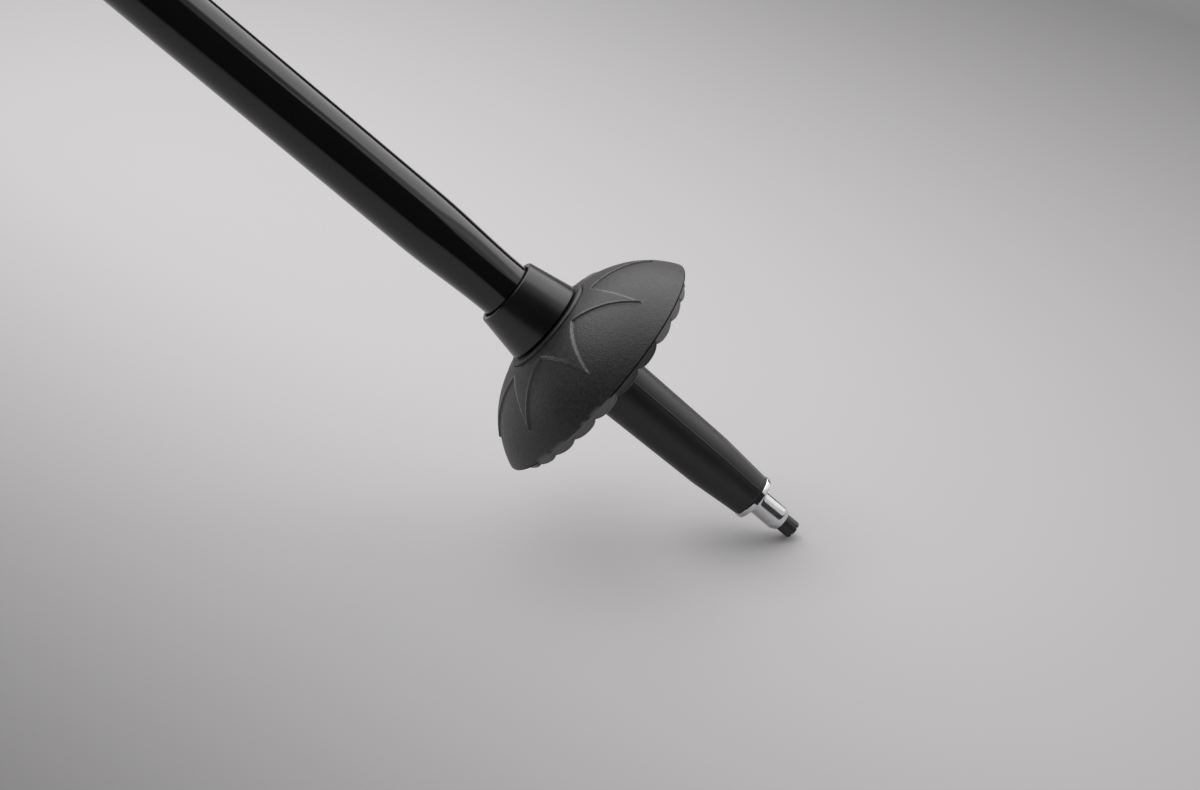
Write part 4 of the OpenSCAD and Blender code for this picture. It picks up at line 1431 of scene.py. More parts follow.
    def dome(self) -> Model:
        """Upper face of the dome, with the star's steps along its grid lines.

        Returns:
            The face.
        """
        rows = self.dome_rows()
        columns, last = self.arm_columns + len(self.step) + self.valley_columns, len(rows) - 1
        model = Model().grid(2 * columns, last, lambda u, v: self.star_point(round(u * 2 * columns) - columns,
                                                                             rows[round(v * last)]))
        bmesh.ops.remove_doubles(model.bm, verts=model.bm.verts[:], dist=JOIN)
        return model.repeated(self.points)

    def shell(self) -> Model:
        """Rim, underside, hub, bore and bead, joined to the dome.

        Returns:
            The shell without the dome's upper face.
        """
        inner = self.dome_r - self.wall
        land_r = self.rim_r - self.rim_land
        edge_tilt = math.degrees(math.acos((self.edge_r - self.centre.x) / self.dome_r))
        edge = (self.edge_r - self.rim_round * math.cos(math.radians(edge_tilt)),
                self.edge_z - self.rim_round * math.sin(math.radians(edge_tilt)))
        land_tilt, hub_tilt, wall_tilt = (math.degrees(math.acos((r - self.centre.x) / inner))
                                          for r in (land_r, self.hub_r + 0.6, self.hub_r))
        bead_r, top, foot, round_r = self.bead / 2, self.high.z, self.hub_z, 0.3
        last = self.dome_point(self.neck_r, 0.0, self.step_h)
        outline = [(self.edge_r, self.edge_z), *arc(edge, self.rim_round, edge_tilt - 12, -90, 6),
                   (land_r, edge[1] - self.rim_round), *arc(self.centre, inner, land_tilt, hub_tilt, 14),
                   (self.hub_r, self.centre.y + inner * math.sin(math.radians(wall_tilt)) - 0.6),
                   (self.hub_r, foot + round_r), (self.hub_r - round_r, foot), (self.bore_r + round_r, foot),
                   (self.bore_r, foot + round_r), (self.bore_r, top - round_r), (self.bore_r + round_r, top),
                   *arc((self.hub_r + 0.25, top - bead_r), bead_r, 90, -62, 9),
                   (last[0] - 0.1, last[2] - 0.12), (last[0], last[2])]
        return Model().turned(outline, steps=2 * self.arm_columns * self.points)

    def roof(self, radius: float) -> Point:
        """Point in the middle of the dome's wall.

        Args:
            radius: Radius of the point.

        Returns:
            Its radius and height.
        """
        middle_r = self.dome_r - self.wall / 2
        share = min((radius - self.centre.x) / middle_r, 0.999)
        return radius, self.centre.y + middle_r * math.sin(math.acos(share))

    def lobe_section(self, share: float) -> list[Point]:
        """Section through a lobe.

        Args:
            share: Place across the lobe, from -1 to 1.

        Returns:
            Points of radius and height.
        """
        inset, slant = self.lobe_taper
        round_off = 1.0 - (1.0 - min(0.97 * abs(share), 1.0) ** 2.3) ** (1 / 2.1)
        depth = self.edge_z - self.low.z - self.lobe_rise * round_off
        face = [(self.edge_r - inset - slant * depth * k / 6, self.edge_z - depth * k / 6)
                for k in range(1, 6)]
        foot_r, foot_z = self.edge_r - inset - slant * depth, self.edge_z - depth
        foot = [(foot_r + 0.26, foot_z + 0.3), (foot_r + 0.06, foot_z + 0.1), (foot_r - 0.1, foot_z + 0.02),
                (foot_r - 0.35, foot_z), (foot_r - 1.5, foot_z)]
        back = [(self.lobe_in_r + 0.5, foot_z), (self.lobe_in_r + 0.1, foot_z + 0.15),
                (self.lobe_in_r, foot_z + 0.6)]
        return [self.roof(self.edge_r - inset), *face, *foot, *back, self.roof(self.lobe_in_r)]

    def lobe_ring(self) -> Model:
        """Ring of round lobes under the rim, whose outer faces slant towards the hub.

        Returns:
            The ring.
        """
        half = math.pi / self.lobes
        rows = len(self.lobe_section(0.0))

        def place(u: float, v: float) -> Triple:
            """Point of one lobe."""
            radius, height = self.lobe_section(u * 2 - 1)[round(v * rows) % rows]
            return polar(radius, (u * 2 - 1) * half, height)

        ring = Model().grid(24, rows, place).repeated(self.lobes)
        return ring.turn(self.star_turn + math.degrees(half) + self.lobe_turn)

    def webs(self) -> Model:
        """Thin webs between the hub and the lobes.

        Returns:
            The webs.
        """
        foot, end = self.hub_r - 1.0, self.lobe_in_r + 2.5
        outline = [(foot, self.hub_z + 1.0), (end, self.rim_z - 0.3),
                   *[self.roof(end + (foot - end) * i / 5) for i in range(6)]]
        web = Model().prism([(r, -self.web_w / 2, z) for r, z in outline], (0, self.web_w, 0))
        return web.repeated(self.points).turn(self.star_turn)

    def mark(self, body: Model) -> None:
        """Marks the star's edges, which get a painted highlight and lower roughness, and the rim's underside,
        which gets painted shade, for the finish.

        Args:
            body: Dome and shell.
        """
        # CREST: the star's edges, for lower roughness and a painted highlight.
        crest = body.bm.verts.layers.float.new(CREST)
        for vert in body.bm.verts:
            radius = math.hypot(vert.co.x, vert.co.y)
            if (self.valley_r - 0.2 < radius < self.point_r + 0.2
                    and vert.co.z > self.dome_point(radius, 0.0, -0.5)[2]):
                arm, slant = self.arm(radius)
                off = (math.atan2(vert.co.y, vert.co.x) + self.half) % (2 * self.half) - self.half
                beyond = (abs(off) - arm) * radius * slant
                vert[crest] = 1.0 if self.step[0][0] + 0.05 < beyond < self.step[-1][0] - 0.05 else 0.0
        # Painted shade: -1 marks the rim's underside, which the finish darkens.
        fold = body.bm.verts.layers.float.new(LOBE)
        for vert in body.bm.verts:
            outside = math.hypot(vert.co.x, vert.co.y) > self.rim_r - self.rim_land - 0.2
            vert[fold] = -1.0 if outside and vert.co.z < self.edge_z - 0.1 else 0.0

    def model(self) -> Model:
        """Whole basket.

        Returns:
            The basket.
        """
        body = self.dome().joined(self.shell())
        bmesh.ops.remove_doubles(body.bm, verts=body.bm.verts[:], dist=0.004)
        self.mark(body)
        body.turn(self.star_turn).joined(self.webs())
        first = len(body.bm.verts)
        body.joined(self.lobe_ring())
        body.bm.verts.ensure_lookup_table()
        # Painted light: 1 marks the lobes' faces, which the finish lightens.
        fold = body.bm.verts.layers.float[LOBE]
        for vert in body.bm.verts[first:]:
            vert[fold] = 1.0 if math.hypot(vert.co.x, vert.co.y) > self.lobe_in_r + 1.0 else 0.0
        return body

    def build(self) -> None:
        """Adds the basket."""
        self.add("star_basket", self.model(), GRAINED, Body.BASKET, ["basket"], sharp=30)


@dataclass
class Tubes(Assembly):
    """The two tubes of the pole.

    Attributes:
        lower_r: Radius of the lower tube.
        lower_wall: Wall of the lower tube.
        swage_r: Radius of its swaged end.
        swage_h: Length of the swage's taper.
        swage_gap: Height of the taper's start above the collar's mouth.
        upper_wall: Wall of the upper tube.
        edge: Chamfer of the tubes' ends.
    """

    lower_r: float = 8.0
    lower_wall: float = 0.9
    swage_r: float = 7.15
    swage_h: float = 26.0
    swage_gap: float = 1.0
    upper_wall: float = 0.75
    edge: float = 0.2

    def lower(self) -> Model:
        """Lower tube with its swaged end.

        Returns:
            The tube.
        """
        low, high = heights("lower_tube")
        start, steps, bore = heights("tip_holder")[1] + self.swage_gap, 24, self.lower_r - self.lower_wall
        swage = [(self.swage_r + (self.lower_r - self.swage_r) * (1 - math.cos(math.pi * i / steps)) / 2,
                  start + self.swage_h * i / steps) for i in range(steps + 1)]
        inner = [(r - self.lower_wall, z) for r, z in reversed(swage)]
        outline = [(self.swage_r - self.lower_wall, low), (self.swage_r, low), *swage,
                   (self.lower_r, high - self.edge), (self.lower_r - self.edge, high), (bore, high), *inner]
        return Model().turned(outline, steps=160, closed=True)

    def upper(self) -> Model:
        """Upper tube.

        Returns:
            The tube.
        """
        low_corner, high_corner = node_box("upper_tube")
        radius = (high_corner.x - low_corner.x) / 2
        low, high, inner = low_corner.z, high_corner.z, radius - self.upper_wall
        return Model().turned([(inner, low), (radius - self.edge, low), (radius, low + self.edge),
                               (radius, high), (inner, high)], steps=128, closed=True)

    def build(self) -> None:
        """Adds the tubes and dresses the bush between them."""
        self.add("lacquered_lower_tube", self.lower(), GLOSS, Body.LOWER, ["lower_tube"], sharp=35)
        self.add("lacquered_upper_tube", self.upper(), GLOSS, Body.UPPER, ["upper_tube"], sharp=35)
        self.dress("guide_bush", NYLON)


@dataclass
class Lock(Assembly):
    """Lever lock at the mouth of the upper tube.

    Attributes:
        wall: Wall of the clamp round its liner.
        liner_r: Outer radius of the liner.
        tube_r: Radius of the clamp's bore on the upper tube.
        bore_r: Radius of the stops that hold the liner.
        stop_h: Height of the stops.
        round_r: Rounding of the clamp's ends.
        tube_h: Length of the clamp on the upper tube.
        rib_pitch: Distance from one rib to the next.
        slit_w: Width of the slit between the ears.
        relief_h: Height of the slot across the slit's end.
        ear_t: Thickness of an ear.
        ear_h: Half of an ear's height.
        screw_x: Distance of the screw behind the pole's axis.
        screw_r: Radius of the screw.
        pin_r: Radius of the lever's pin.
        cam_r: Radius of the lever's cam.
        cam_offset: Offset of the cam from its pin.
        arm_t: Thickness of the lever's arm.
        arm_gap: Gap between the arm and the clamp.
        arm_start: Angle at which the arm leaves the cam.
        reach: Angle that the arm covers.
        thumb_ribs: Number of ribs at the arm's end.
        groove_count: Number of grooves round the nut.
        groove_depth: Depth of the grooves.
    """

    wall: float = 2.1
    liner_r: float = 9.1
    tube_r: float = 9.27
    bore_r: float = 8.3
    stop_h: float = 2.0
    round_r: float = 0.8
    tube_h: float = 8.0
    rib_pitch: float = 1.7
    slit_w: float = 2.2
    relief_h: float = 1.2
    ear_t: float = 3.1
    ear_h: float = 8.0
    screw_x: float = 14.8
    screw_r: float = 1.5
    pin_r: float = 2.3
    cam_r: float = 3.8
    cam_offset: float = 0.5
    arm_t: float = 2.7
    arm_gap: float = 0.5
    arm_start: float = 128.0
    reach: float = 92.0
    thumb_ribs: int = 4
    groove_count: int = 16
    groove_depth: float = 0.36

    def __post_init__(self) -> None:
        """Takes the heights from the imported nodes."""
        self.low, self.high = heights("clamp_body")
        self.mouth = heights("upper_tube")[0]
        pin_low, pin_high = node_box("cross_pin")
        self.pin_low, self.pin_high = pin_low.z, pin_high.z
        self.middle = (pin_low.z + pin_high.z) / 2
        self.pin_y = (pin_low.y + pin_high.y) / 2
        self.clamp_r = self.liner_r + self.wall

    def clamp(self) -> Model:
        """Split clamp with two ears and thin ribs round its top.

        Returns:
            The clamp.
        """
        top_r, bore, edge = self.tube_r + self.wall, self.bore_r, self.round_r
        step_z = self.high - self.tube_h
        ribs = []
        for z in (step_z + 2.0 + self.rib_pitch * i for i in range(3)):
            ribs += [(top_r, z), (top_r - 0.35, z + 0.25), (top_r - 0.35, z + 0.65), (top_r, z + 0.9)]
        foot_z, stop_z, seat_r = self.low + self.stop_h, self.mouth - self.stop_h, self.liner_r + 0.02
        outline = [(bore, self.low), (self.clamp_r - edge, self.low),
                   *arc((self.clamp_r - edge, self.low + edge), edge, -90, 0, 6),
                   (self.clamp_r, step_z - 0.6), (self.clamp_r + 0.03, step_z), (top_r, step_z + 0.6), *ribs,
                   *arc((top_r - edge, self.high - edge), edge, 0, 90, 6), (self.tube_r + 0.15, self.high),
                   (self.tube_r, self.high - 0.2), (self.tube_r, self.mouth), (bore, self.mouth),
                   (bore, stop_z), (seat_r, stop_z), (seat_r, foot_z), (bore, foot_z)]
        half, relief_z = self.slit_w / 2, self.mouth - 2 * self.stop_h
        back, front, side = -22.0, -4.0, 20.0
        slit = Model().block((back, -half, self.low - 1), (front, half, relief_z))
        relief = Model().block((back, -side, relief_z - self.relief_h), (front, side, relief_z))
        body = Model().turned(outline, steps=144, closed=True).combined([slit, relief])
        out = self.screw_x + self.ear_t
        for side in (-1.0, 1.0):
            near, far = sorted((side * half, side * (half + self.ear_t)))
            ear = Model().block((-out, near, self.middle - self.ear_h),
                                (-self.clamp_r + 1.2, far, self.middle + self.ear_h))
            body.joined(ear.bevelled(0.7, 3))
        return body

    def lever(self) -> Model:
        """Cam lever whose arm wraps round the clamp, with a ribbed thumb end.

        Returns:
            The lever.
        """
        low, high, middle = self.pin_low, self.pin_high, self.middle
        x, y, thick = -self.screw_x, self.pin_y, self.arm_t
        cam_y, arm_r = y - self.cam_offset, self.clamp_r + self.arm_gap
        middle_r = arm_r + thick / 2
        start, end = math.radians(self.arm_start), math.radians(self.arm_start - self.reach)
        at = polar(middle_r, start, low)
        turn = math.atan2(at[1] - cam_y, at[0] - x) + math.pi / 2
        side = (self.cam_r * math.cos(turn), self.cam_r * math.sin(turn))
        cam = Model().rod(self.cam_r, (x, cam_y, low), (x, cam_y, high), 64)
        root = Model().prism([(x + side[0], cam_y + side[1], low), (x - side[0], cam_y - side[1], low),
                              polar(arm_r, start, low), polar(arm_r + thick, start, low)], (0, 0, high - low))
        arm = Model().swept([(arm_r, low), (arm_r + thick, low), (arm_r + thick, high), (arm_r, high)],
                            math.degrees(end), self.reach, 48)
        tab_r = middle_r + thick / 3
        tab = Model().rod(thick * 0.7, polar(tab_r, end, low), polar(tab_r, end, high), 32)
        slot = Model().block((x - 7.6, y - 7.6, middle - 1.8), (x + 1.8, y + 3.8, middle + 1.8))
        hole = Model().rod(self.pin_r + 0.05, (x, y, low - 1), (x, y, high + 1), 48)
        parts = [root.bevelled(0.45, 3), arm.bevelled(0.6, 3), tab.bevelled(0.45, 3)]
        whole = cam.bevelled(0.45, 3).combined(parts, "UNION").combined([slot, hole])
        for i in range(self.thumb_ribs):
            turn = end + math.radians(7.0 + 4.0 * i)
            whole.joined(Model().rod(0.42, polar(arm_r + thick, turn, low + 1.8),
                                     polar(arm_r + thick, turn, high - 1.8), 12))
        return whole

    def knurled(self, radius: float, y: float, share: float) -> Ring:
        """Ring of the nut.

        Args:
            radius: Radius of the ring.
            y: Its place along the screw.
            share: Share of the grooves' depth.

        Returns:
            The ring.
        """
        def at(angle: float) -> Triple:
            """Point of the ring.

            Args:
                angle: Its angle in radians.

            Returns:
                The point.
            """
            dip = share * self.groove_depth * max(math.cos(self.groove_count * angle), 0.0) ** 2
            across, up = (radius - dip) * math.cos(angle), (radius - dip) * math.sin(angle)
            return across - self.screw_x, y, self.middle + up

        return at

    def nut(self) -> Model:
        """Knurled thumb nut on the screw's free end.

        Returns:
            The nut.
        """
        low, high = node_box("tension_nut")
        radius, hole, edge = (high.z - low.z) / 2, self.screw_r + 0.05, 0.4
        side = [(radius - edge, 0.0, 0.6), (radius - 0.12, 0.14, 0.8), (radius, edge, 1.0)]
        rows = [(hole, low.y, 0.0), (radius - 1.1, low.y, 0.0),
                *[(r, low.y + y, share) for r, y, share in side],
                *[(r, high.y - y, share) for r, y, share in reversed(side)],
                (hole, high.y, 0.0), (hole, low.y, 0.0)]
        return Model().lofted([self.knurled(*row) for row in rows], 192)

    def build(self) -> None:
        """Adds the lock's pieces."""
        self.add("split_clamp", self.clamp(), HARD, Body.UPPER, ["clamp_body"], sharp=28)
        self.dress("clamp_liner", HARD)
        plate = Model().block(*node_box("cam_seat"))
        self.add("cam_plate", plate.bevelled(0.2, 2), STEEL, Body.UPPER, ["cam_seat"])
        pin_ends = [(-self.screw_x, self.pin_y, z) for z in (self.pin_low, self.pin_high)]
        pin = Model().rod(self.pin_r, *pin_ends, 64)
        self.add("lever_pin", pin.bevelled(0.35, 3), STEEL, Body.UPPER, ["cross_pin"])
        screw_ends = [(-self.screw_x, corner.y, self.middle) for corner in node_box("tension_screw")]
        screw = Model().rod(self.screw_r, *screw_ends, 48)
        self.add("clamp_screw", screw.bevelled(0.3, 2), STEEL, Body.UPPER, ["tension_screw"])
        self.add("thumb_nut", self.nut(), ALUMINIUM, Body.NUT, ["tension_nut"])
        self.add("cam_lever", self.lever(), HARD, Body.LEVER, ["lock_lever"], sharp=28)


def circle(radius: float, z: float) -> Ring:
    """Ring of one radius round the axis."""
    return lambda angle: polar(radius, angle, z)


def drawn_in(distance: float, radius: float) -> float:
    """How far an edge of a given rounding is drawn in at a distance from its end."""
    return radius - math.sqrt(max(radius ** 2 - (radius - min(distance, radius)) ** 2, 0.0))


@dataclass
class Grip(Assembly):
    """Handle, its head, the button and the plug of the sling.

    Attributes:
        body_stations: Height share, half depth, half width and shift forward of the soft body.
        head_stations: The same for the head.
        foot_round: Rounding of the soft body's ends and of the head's foot.
        top_round: Rounding of the head's top.
        core_r: Radius of the bore round the inner sleeve.
        core_rise: How far the inner sleeve reaches into the head.
        groove_count: Number of finger grooves.
        groove_h: Depth of a groove.
        groove_w: Half width of a groove.
        groove_zone: Shares of the height between which the grooves lie.
        ring_bore: Radius of the lower ring's bore.
        button_r: Radius of the button's well.
        button_h: Height of the button's cap.
        stem_r: Radius of the well for the locking stem.
        tongue_rise: Height of the tongue's slot over the head's foot.
        tongue_t: Thickness of the tongue.
        tongue_w: Width of the tongue.
        block_x: Place at which the plug's block meets the head.
        neck_w: Half width of the keyhole's neck.
        knuckle_w: Half width of the knuckle between the link's arms.
        pin_r: Radius of the link's pin.
        bar_r: Radius of the link's bar.
    """

    body_stations: tuple[tuple[float, float, float, float], ...] = (
        (0.00, 15.6, 15.0, 0.0), (0.05, 16.2, 15.4, 0.0), (0.14, 14.4, 13.9, 0.2), (0.32, 15.4, 13.8, 0.8),
        (0.50, 17.2, 14.7, 1.2), (0.68, 16.2, 14.0, 0.9), (0.86, 14.3, 13.0, 0.1), (1.00, 15.2, 13.5, -0.5))
    head_stations: tuple[tuple[float, float, float, float], ...] = (
        (0.00, 15.2, 13.5, -0.5), (0.25, 17.4, 14.8, 0.4), (0.52, 19.8, 16.4, 1.8), (0.76, 20.4, 16.8, 2.6),
        (0.91, 18.6, 15.2, 2.6), (1.00, 14.4, 11.4, 2.2))
    foot_round: float = 0.9
    top_round: float = 1.6
    core_r: float = 10.99
    core_rise: float = 6.0
    groove_count: int = 11
    groove_h: float = 0.75
    groove_w: float = 1.25
    groove_zone: Point = (0.17, 0.83)
    ring_bore: float = 9.27
    button_r: float = 7.05
    button_h: float = 7.0
    stem_r: float = 2.55
    tongue_rise: float = 11.0
    tongue_t: float = 2.2
    tongue_w: float = 10.0
    block_x: float = -19.0
    neck_w: float = 1.8
    knuckle_w: float = 4.0
    pin_r: float = 1.25
    bar_r: float = 1.6

    def __post_init__(self) -> None:
        """Takes the plug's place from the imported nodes."""
        low, high = node_box("strap_plug")
        self.plug_z, self.plug_x, self.knuckle_r = (low.z + high.z) / 2, high.x, (high.z - low.z) / 2
        self.pin_low, self.pin_high = node_box("link_pin")
        self.pin_x = (self.pin_low.x + self.pin_high.x) / 2

    @staticmethod
    def smooth(stations: Sequence[Sequence[float]], share: float, column: int) -> float:
        """Smooth value of one column of a station list.

        Args:
            stations: The list, lowest station first.
            share: Share of the height.
            column: Column that is wanted.

        Returns:
            The value at that height.
        """
        i = 0
        while i < len(stations) - 2 and share > stations[i + 1][0]:
            i += 1

        def slope(k: int) -> float:
            """Slope of the column at a station."""
            a, b = max(k - 1, 0), min(k + 1, len(stations) - 1)
            return (stations[b][column] - stations[a][column]) / (stations[b][0] - stations[a][0])

        h = stations[i + 1][0] - stations[i][0]
        u = (share - stations[i][0]) / h
        return ((2 * u ** 3 - 3 * u ** 2 + 1) * stations[i][column] + (u ** 3 - 2 * u ** 2 + u) * h * slope(i)
                + (3 * u ** 2 - 2 * u ** 3) * stations[i + 1][column] + (u ** 3 - u ** 2) * h * slope(i + 1))

    def ring(self, stations: Sequence[Sequence[float]], share: float, z: float, inset: float) -> Ring:
        """Ring of a station list.

        Args:
            stations: The list.
            share: Share of the height.
            z: Height of the ring.
            inset: How far it is drawn in.

        Returns:
            The ring.
        """
        depth, width, shift = (self.smooth(stations, share, column) for column in (1, 2, 3))
        return lambda angle: (shift + (depth - inset) * math.cos(angle), (width - inset) * math.sin(angle), z)

    def handle(self) -> Model:
        """Soft body with finger grooves.

        Returns:
            The body.
        """
        low, high = heights("grip_body")
        height, count, last = high - low, 240, self.groove_count - 1
        first_z, last_z = (low + share * height for share in self.groove_zone)
        grooves = [first_z + (last_z - first_z) * k / last for k in range(self.groove_count)]
        rows = [circle(self.core_r, high), circle(self.core_r, low)]
        for i in range(count + 1):
            z = low + height * i / count
            inset = drawn_in(min(z - low, high - z), self.foot_round)
            inset += sum(self.groove_h * math.exp(-((z - middle) / self.groove_w) ** 2) for middle in grooves)
            rows.append(self.ring(self.body_stations, i / count, z, inset))
        return Model().lofted([*rows, circle(self.core_r, high)], 96)

    def head(self) -> Model:
        """Hard head with the wells for the button and the slot for the tongue.

        Returns:
            The head.
        """
        low, high = heights("grip_head")
        height, count, top, core_z = high - low, 70, self.button_r, low + self.core_rise
        tongue_z = low + self.tongue_rise
        pocket_z, well_z = tongue_z + self.tongue_t + 4.0, tongue_z - 3.7
        profile = [(0.0, well_z), (self.stem_r, well_z), (self.stem_r, pocket_z), (top, pocket_z),
                   (top, high - 0.5), (top + 0.15, high - 0.15), (top + 0.5, high)]
        rows = [circle(*point) for point in profile]
        for i in range(count, -1, -1):
            z = low + height * i / count
            inset = drawn_in(high - z, self.top_round) + drawn_in(z - low, self.foot_round)
            rows.append(self.ring(self.head_stations, i / count, z, inset))
        rows += [circle(self.core_r, low), circle(self.core_r, core_z), circle(0.0, core_z)]
        half = self.tongue_w / 2 + 0.02
        slot = Model().block((-40.0, -half, tongue_z - 0.02),
                             (self.stem_r * 2, half, tongue_z + self.tongue_t + 0.02))
        return Model().lofted(rows, 96).combined([slot])

    def button(self) -> Model:
        """Button with a shallow dish and its locking stem.

        Returns:
            The button.
        """
        low, high = heights("release_button")
        foot, latch_top = high - self.button_h, low + 3.0
        radius, edge = self.button_r - 0.05, 0.9
        stem = [(0, low), (2.3, low), (2.5, low + 0.2), (2.5, latch_top), (1.5, latch_top), (1.5, foot)]
        dish = [(radius - 1.5, high - 0.02), (radius - 1.8, high - 0.2), (radius - 2.2, high - 0.42),
                (radius - 4.4, high - 0.62), (0, high - 0.68)]
        return Model().turned([*stem, (radius - 0.3, foot), (radius, foot + 0.3), (radius, high - edge),
                               *arc((radius - edge, high - edge), edge, 8, 82, 6), *dish], steps=96)

    def lower_ring(self) -> Model:
        """Hard ring under the soft body.

        Returns:
            The ring.
        """
        low, high = node_box("grip_collar")
        radius, bore, edge = (high.x - low.x) / 2, self.ring_bore, 0.35
        return Model().turned([(bore, low.z), (bore + 1, low.z),
                               *arc((bore + 1, high.z - 1), radius - bore - 1, -75, 0, 14),
                               (radius, high.z - edge), (radius - edge, high.z), (bore, high.z)],
                              steps=96, closed=True)

    def plug(self) -> Model:
        """Tongue with its keyhole, the block behind it and the knuckle for the link.

        Returns:
            The plug.
        """
        z, x, r = self.plug_z, self.pin_x, self.knuckle_r
        half, thin, wide = self.tongue_w / 2, self.tongue_t / 2, self.knuckle_w
        tongue = Model().block((x + 1.0, -half, z - thin), (self.plug_x, half, z + thin))
        keyhole = Model().rod(self.stem_r, (0, 0, z - 3), (0, 0, z + 3), 48)
        neck = Model().block((0.0, -self.neck_w, z - 3), (8.0, self.neck_w, z + 3))
        block = Model().block((x + r + 0.3, -half, z - r), (self.block_x, half, z + r))
        knuckle = Model().rod(r, (x, -wide, z), (x, wide, z), 64)
        stub = Model().block((x, -wide, z - 1.6), (x + r + 1.0, wide, z + 1.6))
        plug = tongue.bevelled(0.25, 2).combined([keyhole, neck])
        return plug.joined(block.bevelled(0.7, 3), knuckle.bevelled(0.4, 2), stub.bevelled(0.3, 2))

    def link(self) -> Model:
        """Link with two bored arms and a bar for the webbing.

        Returns:
            The link.
        """
        low, high = node_box("strap_link")
        z, x, bar_z = self.plug_z, self.pin_x, low.z + self.bar_r
        link = Model()
        for side in (-1.0, 1.0):
            near, far = sorted((side * (self.knuckle_w + 0.3), side * high.y))
            knob = Model().rod(self.knuckle_r, (x, near, z), (x, far, z), 64)
            bore = Model().rod(self.pin_r + 0.05, (x, near - 1, z), (x, far + 1, z), 48)
            near, far = sorted((side * (high.y - 2 * self.bar_r), side * high.y))
            arm = Model().block((x - 1.28, near, low.z + self.bar_r * 0.6), (x + 1.28, far, z - 1.6))
            link.joined(knob.bevelled(0.45, 3).combined([bore]), arm.bevelled(0.5, 3))
        bar = Model().rod(self.bar_r, (x, low.y, bar_z), (x, high.y, bar_z), 48)
        return link.joined(bar.bevelled(0.5, 3))

    def build(self) -> None:
        """Adds the grip's pieces, the plug, its pin and the link."""
        self.add("grip_ring", self.lower_ring(), HARD, Body.UPPER, ["grip_collar"], sharp=40)
        self.dress("grip_core", HARD)
        self.add("soft_handle", self.handle(), FOAM, Body.UPPER, ["grip_body"], sharp=50)
        self.add("grip_cap", self.head(), HARD, Body.UPPER, ["grip_head"], sharp=35)
        self.add("strap_button", self.button(), BUTTON, Body.BUTTON, ["release_button"], sharp=45)
        self.dress("button_spring", STEEL)
        self.add("strap_tongue", self.plug(), HARD, Body.UPPER, ["strap_plug"], sharp=28)
        pin_ends = [(self.pin_x, corner.y, self.plug_z) for corner in (self.pin_low, self.pin_high)]
        pin = Model().rod(self.pin_r, *pin_ends, 48)
        self.add("swing_pin", pin.bevelled(0.25, 2), STEEL, Body.UPPER, ["link_pin"])
        self.add("swing_link", self.link(), HARD, Body.SLING, ["strap_link"], sharp=28)


